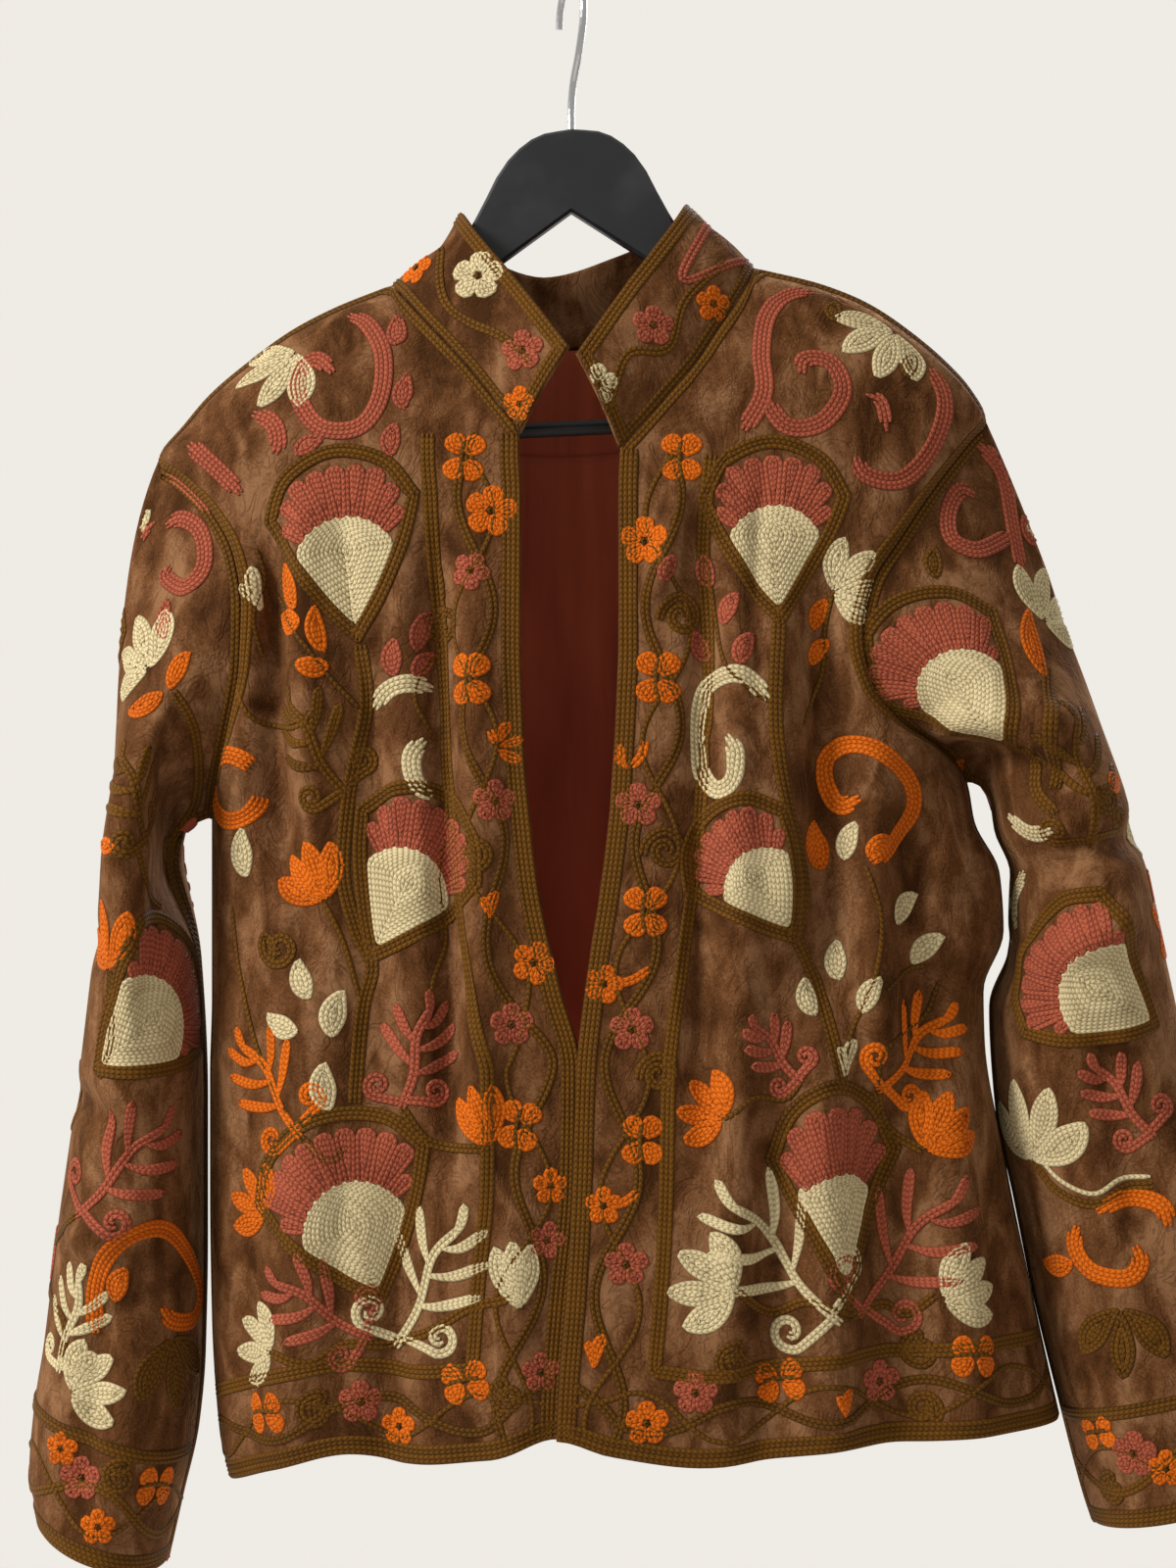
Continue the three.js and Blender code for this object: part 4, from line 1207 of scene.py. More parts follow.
@dataclass(frozen=True)
class StitchedThread:
    """Chain-stitched cotton thread: a braid of links along each row."""

    name: str
    light: tuple
    deep: tuple

    def material(self) -> bpy.types.Material:
        """Makes the thread's material.

        Along a row every link is a V: its phase is the length over the stitch plus the distance from
        the row's middle. The link's ends and the row's edges are darker as painted shade, and rows differ a
        little.

        Returns:
            The new material.
        """
        g = Graph(self.name)
        uv = g.node("ShaderNodeUVMap", uv_map="stitch").outputs[0]
        parts = g.node("ShaderNodeSeparateXYZ", {"Vector": uv}).outputs
        aside = g.maths("ABSOLUTE", g.maths("SUBTRACT", parts[1], 0.5))
        along = g.maths("MULTIPLY", parts[0], 1 / LINK)
        phase = g.maths("FRACT", g.maths("ADD", along, g.maths("MULTIPLY", aside, 0.9)))
        link = g.maths("SINE", g.maths("MULTIPLY", phase, math.pi))
        groove = g.maths("SUBTRACT", 1.0, g.maths("POWER", g.maths("MULTIPLY", aside, 2.0), 3.0))
        height = g.maths("MULTIPLY", g.maths("POWER", link, 0.5), groove)
        place = g.node("ShaderNodeTexCoord").outputs["Object"]
        pale_tone = g.noise(place, 60.0, 3.0)
        own = g.node("ShaderNodeAttribute", attribute_name="shade").outputs["Fac"]
        # Painted shade: tone follows the links' relief, darker at the links' ends and the row's edges.
        tone = g.maths("ADD", g.maths("MULTIPLY", height, 0.55), g.maths("MULTIPLY", pale_tone, 0.35))
        tone = g.maths("ADD", tone, g.maths("MULTIPLY", own, 0.22))
        g.put(g.shader.inputs["Base Color"], g.ramp(tone, ((0.2, self.deep), (0.85, self.light))))
        g.shader.inputs["Roughness"].default_value = 0.62
        g.shader.inputs["Specular IOR Level"].default_value = 0.08
        g.shader.inputs["Sheen Weight"].default_value = 0.03
        g.put(g.shader.inputs["Normal"], g.bump(height, 0.8, 0.0007))
        return g.material


@dataclass(frozen=True)
class BlackPaint:
    """Satin black paint on wood, with a faint grain under it and rubbed patches."""

    shade: tuple = colour(24, 26, 28)
    rubbed: tuple = colour(48, 49, 51)

    def material(self) -> bpy.types.Material:
        """Makes the paint's material from a long grain noise and a cloudy one for rubbing.

        Returns:
            The new material.
        """
        g = Graph("black paint")
        place = g.node("ShaderNodeTexCoord").outputs["Object"]
        grain = g.noise(g.stretched(place, (0.12, 1.0, 1.0)), 420.0, 3.0)
        rub = g.noise(place, 26.0, 4.0)
        g.put(g.shader.inputs["Base Color"], g.ramp(rub, ((0.45, self.shade), (0.8, self.rubbed))))
        g.put(g.shader.inputs["Roughness"], g.maths("MULTIPLY_ADD", rub, 0.25, 0.32))
        g.put(g.shader.inputs["Normal"], g.bump(grain, 0.12, 0.0004))
        return g.material


@dataclass(frozen=True)
class BrightWire:
    """Chromed steel wire with faint drawn lines and light handling marks."""

    shade: tuple = colour(205, 206, 208)

    def material(self) -> bpy.types.Material:
        """Makes the wire's material: metal whose roughness follows a fine noise.

        Returns:
            The new material.
        """
        g = Graph("bright wire")
        place = g.node("ShaderNodeTexCoord").outputs["Object"]
        marks = g.noise(place, 180.0, 4.0)
        g.shader.inputs["Base Color"].default_value = self.shade
        g.shader.inputs["Metallic"].default_value = 1.0
        g.put(g.shader.inputs["Roughness"], g.maths("MULTIPLY_ADD", marks, 0.18, 0.14))
        g.put(g.shader.inputs["Normal"], g.bump(marks, 0.06, 0.0003))
        return g.material


@dataclass
class Jacket:
    """The jacket's cut pieces, sewn to each other at their edges."""

    pieces: dict[str, Cloth] = field(default_factory=dict)

    def cut(self) -> None:
        """Works out every piece's outer face, joins their seams, and tilts them with the hanger."""
        front_left = Cloth("front_left", LEFT.grid(), -1)
        front_right = Cloth("front_right", RIGHT.grid(), 1)
        back = Cloth("back", back_grid(), -1)
        for front in (front_left, front_right):
            x, z = front.grid[..., 0], front.grid[..., 2]
            folds = fold_height(FRONT_FOLDS + FRONT_CREASES, x, z) * CREASE_GAIN
            front.settle(folds, self.calm(front.grid, ("top", "end")))
        folds = fold_height(BACK_FOLDS + BACK_CREASES, back.grid[..., 0], back.grid[..., 2]) * CREASE_GAIN
        back.settle(folds, self.calm(back.grid, ("top", "start", "end")))
        back.grid[: ROWS_BELOW + 1, 0] = front_left.grid[: ROWS_BELOW + 1, -1]
        back.grid[: ROWS_BELOW + 1, -1] = front_right.grid[: ROWS_BELOW + 1, -1]
        back.grid[-1, : SHOULDER_CELLS + 1] = front_left.grid[-1, NECK_CELLS:][::-1]
        back.grid[-1, -SHOULDER_CELLS - 1 :] = front_right.grid[-1, NECK_CELLS:]

        sleeves = [
            self.sleeve("sleeve_left", SLEEVE_LEFT, front_left, back.grid[ROWS_BELOW:, 0], -1),
            self.sleeve("sleeve_right", SLEEVE_RIGHT, front_right, back.grid[ROWS_BELOW:, -1], 1),
        ]
        neckline = np.concatenate(
            [
                front_left.grid[-1, :NECK_CELLS],
                back.grid[-1, SHOULDER_CELLS : SHOULDER_CELLS + BACK_NECK_CELLS + 1],
                front_right.grid[-1, :NECK_CELLS][::-1],
            ]
        )
        collar = Cloth("collar", collar_grid(neckline), -1)
        folds = fold_height(COLLAR_FOLDS, collar.grid[..., 0], collar.grid[..., 2])
        collar.settle(folds, self.calm(collar.grid, ("bottom",)))
        for piece in (front_left, front_right, back, *sleeves, collar):
            piece.grid[..., 2] += TILT * piece.grid[..., 0]
            piece.finish_shape()
            self.pieces[piece.name] = piece

    @staticmethod
    def calm(grid: Array, sewn: tuple[str, ...]) -> Array:
        """How free a piece's cloth is to fold.

        Args:
            grid: (rows, columns, 3) points.
            sewn: which of its edges are sewn.

        Returns:
            (rows, columns) numbers, 0 on sewn edges and 1 a calm distance away from them.
        """
        edges = {"top": grid[-1:], "bottom": grid[:1], "start": grid[:, :1], "end": grid[:, -1:]}
        free = np.ones(grid.shape[:2])
        for name in sewn:
            free *= smooth(np.linalg.norm(grid - edges[name], axis=2) / SEAM_CALM)
        return free

    def sleeve(self, name: str, table: Table, front: Cloth, behind: Array, sign: int) -> Cloth:
        """A sleeve sewn into the armhole between a front and the back.

        Args:
            name: the piece's name.
            table: its sizes by height.
            front: the front whose side carries the armhole.
            behind: the back's armhole points from the underarm up.
            sign: -1 for the sleeve at the viewer's left, 1 for the right.

        Returns:
            The sleeve, its columns from the underarm up the back and down the front.
        """
        loop = np.concatenate([front.grid[ROWS_BELOW:, -1][::-1], behind[1:-1]])
        grid = sleeve_grid(table, loop, sign)
        half = len(loop) // 2
        grid = np.roll(grid, -half, axis=1)
        grid = np.concatenate([grid, grid[:, :1]], axis=1)
        made = Cloth(name, grid, sign, closed=True)
        x, y, z = grid[..., 0], grid[..., 1], grid[..., 2]
        before = smooth((table.curve("middle_y")(z) - y) / 16 + 0.5)
        folds = fold_height(SLEEVE_FRONT_FOLDS, x, z) * before
        folds += fold_height(SLEEVE_BACK_FOLDS, x, z) * (1 - before)
        made.settle(folds * CREASE_GAIN, self.calm(grid, ("bottom",)))
        return made

    def lining(self) -> Cloth:
        """The back's cotton lining, half a millimetre inside the back's wall.

        Returns:
            The lining, a few cells smaller than the back at each edge.
        """
        back = self.pieces["back"]
        rows, columns = slice(6, -10), slice(8, -8)
        inside = back.grid[rows, columns] - back.normals[rows, columns] * (WALL + 0.5)
        made = Cloth("back_lining", inside, -1)
        made.finish_shape()
        return made


class Thread(Enum):
    """The embroidery's threads, numbered as the mesh's materials."""

    OLIVE = 0
    ORANGE = 1
    ROSE = 2
    CREAM = 3


THREAD_FINISHES = (
    StitchedThread("olive thread", colour(108, 69, 14), colour(54, 31, 3)),
    StitchedThread("orange thread", colour(216, 104, 14), colour(138, 58, 3)),
    StitchedThread("rose thread", colour(170, 86, 60), colour(100, 42, 27)),
    StitchedThread("cream thread", colour(216, 198, 153), colour(142, 122, 84)),
)


def flowing(corners: Array, steps: int = 8) -> Array:
    """A smooth line through corners.

    Between two corners it is the cubic whose slopes are half the chord from the corner before to
    the corner after.

    Args:
        corners: (count, k) points.
        steps: how many steps lie between two of them.

    Returns:
        The line's points.
    """
    corners = np.asarray(corners, dtype=float)
    ends = np.concatenate([2 * corners[:1] - corners[1:2], corners, 2 * corners[-1:] - corners[-2:-1]])
    t = np.linspace(0, 1, steps, endpoint=False)[None, :, None]
    p0, p1, p2, p3 = (ends[k : len(ends) - 3 + k, None, :] for k in range(4))
    line = p1 + t * (p2 - p0) / 2 + t**2 * (p0 - 2.5 * p1 + 2 * p2 - 0.5 * p3)
    line = line + t**3 * (1.5 * (p1 - p2) + (p3 - p0) / 2)
    return np.concatenate([line.reshape(-1, corners.shape[1]), corners[-1:]])


def side_step(path: Array) -> Array:
    """The unit vectors square to a flat path, to its left.

    Args:
        path: (count, 2) flat points.

    Returns:
        (count, 2) vectors.
    """
    way = np.gradient(path, axis=0)
    way /= np.maximum(np.linalg.norm(way, axis=1, keepdims=True), 1e-9)
    return np.stack([-way[:, 1], way[:, 0]], axis=-1)


def bowed(start: tuple, end: tuple, bow: float, points: int = 22) -> Array:
    """A bent line: its distance from the chord is a parabola of its length.

    Args:
        start: where it begins.
        end: where it ends.
        bow: how far its middle stands out sideways, times the chord.
        points: how many points it has.

    Returns:
        (points, 2) flat points.
    """
    a, b = np.array(start, dtype=float), np.array(end, dtype=float)
    t = np.linspace(0, 1, points)[:, None]
    across = np.array([-(b - a)[1], (b - a)[0]])
    return a + (b - a) * t + across * bow * 4 * t * (1 - t)


def curl(radius: float, turns: float, start: float, hand: int, inner: float = 0.16) -> Array:
    """A spiral outwards: its radius grows evenly with its angle.

    Args:
        radius: its outer radius.
        turns: how many turns it makes.
        start: the angle at which it begins, in radians clockwise from up.
        hand: 1 to turn clockwise, -1 the other way.
        inner: the inner radius over the outer.

    Returns:
        (count, 2) flat points.
    """
    t = np.linspace(0, 1, int(20 * turns) + 6)
    angle = start + hand * 2 * math.pi * turns * t
    reach = radius * lerp(inner, 1, t)
    return np.stack([reach * np.sin(angle), reach * np.cos(angle)], axis=-1)


def nested_rows(spine: Array, half: Array) -> list[Array]:
    """Rows of stitches that fill a shape round a spine, each one pitch inside the last.

    Args:
        spine: (count, 2) points along the shape's middle.
        half: (count,) the shape's half width at each of them.

    Returns:
        Closed rows from the outline inwards, and a last straight one where they leave a gap.
    """
    rows, room, side = [], half - ROW_PITCH * 0.5, side_step(spine)
    while True:
        keep = room > 0.15
        if keep.sum() < 3 or room.max() < 0.35:
            break
        reach = room[keep][:, None]
        left, right = spine[keep] + side[keep] * reach, spine[keep] - side[keep] * reach
        rows.append(np.concatenate([left, right[::-1], left[:1]]))
        room = room - ROW_PITCH
    middle = room + ROW_PITCH > 1.15
    if middle.sum() > 2 or not rows:
        rows.append(spine[middle] if middle.sum() > 2 else spine)
    return rows


@dataclass(frozen=True)
class Axes:
    """A motif's own place and directions on the flat cloth."""

    at: Array
    right: Array
    up: Array

    def lay(self, path: Array) -> Array:
        """A path in the motif's own millimetres, on the flat cloth."""
        return self.at + path[:, :1] * self.right + path[:, 1:] * self.up


Motifs = tuple[tuple, ...]
Trails = tuple[tuple, ...]


@dataclass
class Embroidery:
    """Chain-stitched rows on one piece of cloth. Motifs are drawn flat, in millimetres, then lie on it."""

    cloth: Cloth
    rear: bool = False
    columns: slice | None = None
    strokes: list[tuple[Array, Thread, float, float]] = field(default_factory=list)

    def stitch(
        self,
        path: Array,
        thread: Thread,
        rows: int = 1,
        lift: float = 0.0,
        step: float = STITCH_STEP,
        taper: float = 0.0,
    ) -> None:
        """Adds parallel rows along a flat path.

        Args:
            path: (count, 2) flat points.
            thread: the thread.
            rows: how many rows lie side by side.
            lift: how much higher than usual they lie.
            step: the length of a mesh step along them.
            taper: how much shorter a row is at each end, times how far out it lies.
        """
        side = side_step(path)
        length = lengths(path)
        for k in range(rows):
            out = (k - (rows - 1) / 2) * ROW_PITCH
            cut = min(taper * abs(out), length[-1] * 0.3)
            kept = (length >= cut) & (length <= length[-1] - cut)
            self.strokes.append(((path + side * out)[kept], thread, lift, step))

    def axes(self, x: float, y: float, turn: float, size: float) -> Axes:
        """A motif's place and directions on the flat cloth.

        Up is the way on the flat cloth from the pixel to the one that lies the motif's size away.

        Args:
            x: the pixel's x.
            y: the pixel's y.
            turn: how far its up is turned clockwise from the photograph's up, in degrees.
            size: the motif's size.

        Returns:
            The motif's axes.
        """
        angle = math.radians(turn)
        up, right = (math.sin(angle), -math.cos(angle)), (math.cos(angle), math.sin(angle))
        pixels = [(x, y), (x + size * up[0], y + size * up[1]), (x + 12 * right[0], y + 12 * right[1])]
        at, above, beside = self.cloth.spots(pixels, not self.rear, self.columns)
        way = (above - at) / max(np.linalg.norm(above - at), 1e-6)
        square = np.array([way[1], -way[0]])
        return Axes(at, square * math.copysign(1, float(square @ (beside - at))), way)

    def fill(self, axes: Axes, spine: Array, half: Array, thread: Thread) -> None:
        """Fills a shape round a spine with nested rows, over one low row along the spine.

        Args:
            axes: the motif's axes.
            spine: (count, 2) points along the shape's middle.
            half: (count,) its half width at each of them.
            thread: the thread.
        """
        wide = half > 0.9
        if wide.sum() > 2:
            self.strokes.append((axes.lay(spine[wide]), thread, -0.22, 3.2))
        for row in nested_rows(spine, half):
            self.strokes.append((axes.lay(row), thread, 0.0, 2.8))

    def leaf(self, axes: Axes, size: float, thread: Thread, wide: float = 0.25, bow: float = 0.12) -> None:
        """A pointed leaf, widest below its middle: its half width is a sine of a power of its length.

        Args:
            axes: the place of its foot and its directions.
            size: its length.
            thread: the thread.
            wide: its greatest half width over its length.
            bow: how far its middle stands out, times its length.
        """
        spine = bowed((0, 0), (0, size), bow)
        t = np.linspace(0, 1, len(spine))
        self.fill(axes, spine, size * wide * np.sin(math.pi * t**0.85) ** 1.05, thread)

    def petal(
        self, axes: Axes, start: tuple, end: tuple, half: float, thread: Thread, bow: float = 0.0
    ) -> None:
        """A round-tipped petal: its half width rises slowly and closes as a quarter circle.

        Args:
            axes: the motif's axes.
            start: the petal's foot.
            end: its tip.
            half: its greatest half width.
            thread: the thread.
            bow: how far its middle stands out, times its length.
        """
        spine = bowed(start, end, bow)
        t = np.linspace(0, 1, len(spine))
        shape = np.where(t < 0.68, 0.42 + 0.58 * np.sin(t / 0.68 * math.pi / 2), 1.0)
        shape = shape * np.sqrt(np.clip(1 - ((t - 0.68) / 0.32).clip(0, 1) ** 2, 0, 1))
        self.fill(axes, spine, half * shape, thread)

    def flower(self, axes: Axes, size: float, thread: Thread, petals: int = 5) -> None:
        """Round petals about a small darker heart.

        Args:
            axes: the place of its heart and its directions.
            size: its width.
            thread: the petals' thread.
            petals: how many there are.
        """
        reach = size / 2
        for angle in 2 * math.pi * np.arange(petals) / petals:
            way = np.array([math.sin(angle), math.cos(angle)])
            self.petal(axes, tuple(way * reach * 0.22), tuple(way * reach), reach * 0.45, thread)
        self.strokes.append((axes.lay(curl(reach * 0.12, 1.0, 0, 1)), Thread.OLIVE, 0.35, 2.0))

    def bow(self, axes: Axes, size: float, thread: Thread) -> None:
        """Two pairs of round petals on each side of a short olive stalk.

        Args:
            axes: the place of its middle and its directions.
            size: its width.
            thread: the petals' thread.
        """
        reach = size / 2
        for angle in (0.62, 2.52, -0.62, -2.52):
            way = np.array([math.sin(angle), math.cos(angle)])
            self.petal(axes, tuple(way * reach * 0.2), tuple(way * reach * 1.02), reach * 0.45, thread)
        stalk = bowed((0, -reach * 0.8), (0, reach * 0.7), 0.08, 8)
        self.strokes.append((axes.lay(stalk), Thread.OLIVE, 0.35, 2.6))

    def spiral(self, axes: Axes, size: float, thread: Thread, hand: int = 1) -> None:
        """A two-row curl with a short tail.

        Args:
            axes: the place of its middle and its directions.
            size: its outer radius.
            thread: the thread.
            hand: 1 to turn clockwise, -1 the other way.
        """
        line = curl(size, 1.45, 2.4, hand)
        tail = line[-1:] + np.array([[hand * size * 0.5, -size * 0.5], [hand * size * 0.7, -size * 1.2]])
        self.stitch(axes.lay(flowing(np.concatenate([line[::3], tail]), 4)), thread, 2, step=2.8)

    def tulip(self, axes: Axes, size: float, thread: Thread, petals: int = 4, spread: float = 13) -> None:
        """Pointed petals that fan out from one base, the outer ones fuller and curving outwards.

        Args:
            axes: the place of its base and its directions.
            size: its height.
            thread: the thread.
            petals: how many there are.
            spread: the outer ones' angle from its middle, in degrees for each petal.
        """
        t = np.linspace(0, 1, 24)
        shape = np.sin(math.pi * t**1.35) ** 0.85 + 0.12 * (1 - t)
        for angle in np.radians(np.linspace(-spread, spread, petals) * petals):
            reach = size * (1 - 0.12 * abs(angle))
            tip = (reach * math.sin(angle), reach * math.cos(angle))
            spine = bowed((0, 0), tip, -0.12 * math.sin(angle), 24)
            self.fill(axes, spine, size * 0.18 * (0.9 + 0.2 * abs(angle)) * shape, thread)

    def bud(self, axes: Axes, size: float, thread: Thread) -> None:
        """Two unequal petals from one base."""
        self.petal(axes, (0, 0), (-size * 0.3, size * 0.75), size * 0.17, thread, -0.1)
        self.petal(axes, (0, 0), (size * 0.25, size), size * 0.2, thread, 0.08)

    def coral(self, axes: Axes, size: float, thread: Thread, hand: int = 1) -> None:
        """A branching sprig of round-ended stems with two curls near its foot.

        Args:
            axes: the place of its foot and its directions.
            size: its height.
            thread: the thread.
            hand: -1 to mirror it.
        """
        s = size
        stem = ((0, 0), (0.03, 0.3), (-0.02, 0.62), (0.05, 0.86))
        self.stitch(axes.lay(flowing(np.array(stem) * (s * hand, s), 6)), thread, 2, 0.1, 2.9)
        branches = (
            ((0.04, 0.78), (0.05, 0.9), (0.02, 1.02)),
            ((0.02, 0.3), (0.17, 0.38), (0.37, 0.56)),
            ((0.02, 0.36), (-0.13, 0.47), (-0.33, 0.66)),
            ((0.0, 0.5), (0.15, 0.58), (0.32, 0.77)),
            ((-0.01, 0.56), (-0.12, 0.66), (-0.25, 0.85)),
            ((0.02, 0.7), (0.12, 0.77), (0.22, 0.95)),
        )
        for branch in branches:
            line = flowing(np.array(branch) * (s * hand, s), 6)
            t = np.linspace(0, 1, len(line))
            round_end = np.sqrt(np.clip(1 - ((t - 0.8) / 0.2).clip(0, 1) ** 2, 0, 1))
            self.fill(axes, line, 1.3 + 1.5 * smooth(t * 1.5) * round_end, thread)
        for side, height in ((-1, 0.14), (1, 0.2)):
            line = curl(0.11 * s, 1.25, 2.0 * side, side) + np.array([side * 0.24 * s, height * s])
            foot = np.array([[0.0, height * s * 0.35]])
            self.stitch(axes.lay(flowing(np.concatenate([line[::3], foot]), 4)), thread, 2, step=2.8)

    def ring(self, axes: Axes, size: float, thread: Thread, gap: float = 1.1) -> None:
        """A thick open ring of four rows.

        Args:
            axes: the place of its middle and its directions.
            size: its outer radius.
            thread: the thread.
            gap: where it opens, in radians.
        """
        angle = np.linspace(gap, 2 * math.pi - gap / 3, 44)
        line = np.stack([np.sin(angle), np.cos(angle)], axis=-1) * (size - 2 * ROW_PITCH)
        self.stitch(axes.lay(line), thread, 4, step=3.0)

    def fan(self, axes: Axes, size: float, thread: Thread, wide: float = 0.82, waist: float = 1.0) -> None:
        """A fan: an olive border, long rose petals and a cream heart.

        The border runs from the point up two sides and over a round top. The petals stand on a
        circle's arc and each ends just inside the border. The cream heart fills the space below them,
        as wide as the sides leave it.

        Args:
            axes: the place of the fan's point and its directions.
            size: its height.
            thread: the border's thread.
            wide: its width over its height.
            waist: below 1 draws the lower sides in.
        """
        w, s = size * wide / 2, size
        height = np.array([0, 0.2, 0.45, 0.68]) * s
        side = np.array([0.03, 0.4 * waist, 0.77 * (0.5 + 0.5 * waist), 1.0]) * w
        up = np.stack([side, height], axis=-1)
        top = np.array([[w, 0.68 * s], [0.66 * w, 0.9 * s], [0, s], [-0.66 * w, 0.9 * s], [-w, 0.68 * s]])
        half = flowing(up, 8)
        outline = np.concatenate([half, flowing(top, 8)[1:], (half * (-1, 1))[::-1][1:]])
        middle = np.array([0, 0.52 * s])
        inward = side_step(outline)
        inward *= np.sign(((middle - outline) * inward).sum(axis=1, keepdims=True))
        for k in range(3):
            self.strokes.append((axes.lay(outline + inward * (k + 0.5) * ROW_PITCH), thread, 0.15, 3.0))
        inner = outline + inward * 3.5 * ROW_PITCH
        centre = np.array([0, 0.36 * s])
        reach = np.linalg.norm(inner - centre, axis=1)
        angles = np.arctan2(inner[:, 0] - centre[0], inner[:, 1] - centre[1])
        order = np.argsort(angles)
        heart = min(0.27 * s, 0.72 * w)
        for angle in np.radians(np.linspace(-62, 62, 11)):
            tip = min(float(np.interp(angle, angles[order], reach[order])), 0.53 * s)
            if tip < heart + 4:
                continue
            way = np.array([math.sin(angle), math.cos(angle)])
            out = np.linspace(heart, tip, 26)
            round_tip = np.sqrt(np.clip(1 - ((out - 0.91 * tip) / (0.09 * tip)).clip(0, 1) ** 2, 0, 1))
            self.fill(axes, centre + way * out[:, None], 0.109 * out * round_tip, Thread.ROSE)
        rise = np.linspace(0.02 * s, centre[1] + heart - 0.6, 40)
        room = np.interp(rise, half[:, 1], half[:, 0]) - 3.6 * ROW_PITCH
        over = rise > centre[1]
        arc = np.sqrt(np.clip(heart**2 - (rise - centre[1]) ** 2, 0, None))
        room = np.where(over, np.minimum(room, arc), np.minimum(room, heart))
        keep = room > 0.4
        spine = np.stack([np.zeros(keep.sum()), rise[keep]], axis=-1)
        self.fill(axes, spine, room[keep], Thread.CREAM)

    def motifs(self, table: Motifs) -> None:
        """Draws each row's motifs, all of one kind and thread.

        Args:
            table: rows of kind and thread, then each motif's x, y, turn, size and own numbers.
        """
        for kind, thread, *places in table:
            for x, y, turn, size, *more in places:
                getattr(self, kind)(self.axes(x, y, turn, size), size, thread, *more)

    def trails(self, table: Trails) -> None:
        """Draws stems and scrolls.

        Args:
            table: for each its thread, how many rows it has, and the pixels it passes.
        """
        for thread, rows, *pixels in table:
            path = flowing(self.cloth.spots(pixels, not self.rear, self.columns), 14)
            self.stitch(path, thread, rows, 0.0, 3.3, 0.0 if thread is Thread.OLIVE else 2.0)

    def edging(self, border: Array, inset: float, rows: int) -> Array:
        """Olive rows beside a border of the flat cut.

        Args:
            border: (count, 2) the border's flat points.
            inset: how far in the first row's middle is.
            rows: how many rows.

        Returns:
            The border's inward unit vectors.
        """
        middle = self.cloth.flat.reshape(-1, 2).mean(axis=0)
        inward = side_step(border)
        inward *= np.sign(((middle - border) * inward).sum())
        for k in range(rows):
            self.strokes.append((border + inward * (inset + k * ROW_PITCH), Thread.OLIVE, 0.0, 4.2))
        return inward

    def vine(
        self, border: Array, inset: float, sway: float, wave: float, phase: float, rows: int = 2
    ) -> None:
        """A vine that swings about a line beside a border as a sine of its length.

        Args:
            border: (count, 2) the border's flat points.
            inset: how far in the line is.
            sway: how far the vine swings to each side.
            wave: the length of one swing.
            phase: where in a swing it begins, in radians.
            rows: how many rows it has.
        """
        inward = self.edging(border, 0, 0)
        swing = inset + sway * np.sin(2 * math.pi * lengths(border) / wave + phase)
        self.stitch(border + inward * swing[:, None], Thread.OLIVE, rows, -0.05, 3.6)

    def build(self, finishes: tuple) -> bpy.types.Object:
        """Makes all rows one mesh: each is a strip of two faces across with a raised middle.

        Args:
            finishes: the four threads' materials.

        Returns:
            The new object, with the stitch UV map and the rows' own shade.
        """
        chance = np.random.default_rng(7)
        lines, sides, number, length, half, lifts, shades, threads = [], [], [], [], [], [], [], []
        for k, (path, thread, lift, step) in enumerate(self.strokes):
            total = float(np.linalg.norm(np.diff(path, axis=0), axis=1).sum())
            if total < SHORTEST_ROW:
                continue
            ring = len(path) > 4 and np.linalg.norm(path[0] - path[-1]) < 0.01
            cells = max(8 if ring else 2, math.ceil(total / step))
            line = evenly(path[None], cells)[0]
            width = np.full(cells + 1, ROW_WIDTH / 2)
            width[[0, -1]] *= 0.55
            lines.append(line)
            sides.append(side_step(line))
            number.append(np.full(cells + 1, k))
            length.append(np.linspace(0, total, cells + 1))
            half.append(width)
            lifts.append(np.full(cells + 1, lift))
            shades.append(np.full(cells + 1, chance.random()))
            threads.append(np.full(cells + 1, thread.value))
        line, side = np.concatenate(lines), np.concatenate(sides)
        number, length, half = np.concatenate(number), np.concatenate(length), np.concatenate(half)
        lift, shade, thread = np.concatenate(lifts), np.concatenate(shades), np.concatenate(threads)
        share = np.array([-1.0, 0.0, 1.0])
        flat = line[:, None] + side[:, None] * (half[:, None] * share)[..., None]
        height = ROW_BASE + lift[:, None] + ROW_RISE * (1 - np.abs(share))[None]
        points, off = self.cloth.point(flat.reshape(-1, 2), height.ravel())
        i = np.nonzero(number[:-1] == number[1:])[0]
        quads = [[3 * i + c, 3 * i + c + 1, 3 * i + c + 4, 3 * i + c + 3] for c in (0, 1)]
        quads = np.concatenate([np.stack(q, axis=-1) for q in quads])
        kind = np.concatenate([thread[i], thread[i]])
        kept = (off[quads] < OFF_CLOTH).all(axis=1)
        quads, kind = quads[kept], kind[kept]
        corner = points[quads]
        face = np.cross(corner[:, 1] - corner[:, 0], corner[:, 3] - corner[:, 0])
        place, _ = find_place(self.cloth.flat, flat.reshape(-1, 2)[quads[:, 0]])
        turned = (face * read_grid(self.cloth.normals, place)).sum(axis=1) < 0
        quads[turned] = quads[turned][:, ::-1]
        used, quads = np.unique(quads, return_inverse=True)
        quads = quads.reshape(-1, 4)
        made = solid_mesh("embroidery_" + self.cloth.name, points[used], quads)
        mesh = made.data
        for finish in finishes:
            mesh.materials.append(finish)
        mesh.polygons.foreach_set("material_index", kind.astype(np.int32))
        order = np.empty(len(mesh.loops), dtype=np.int32)
        mesh.loops.foreach_get("vertex_index", order)
        uv = np.stack([np.repeat(length, 3), np.tile((share + 1) / 2, len(length))], axis=-1)[used]
        mesh.uv_layers.new(name="stitch").data.foreach_set("uv", uv[order].astype(np.float32).ravel())
        own = np.repeat(shade, 3)[used].astype(np.float32)
        mesh.attributes.new("shade", "FLOAT", "POINT").data.foreach_set("value", own)
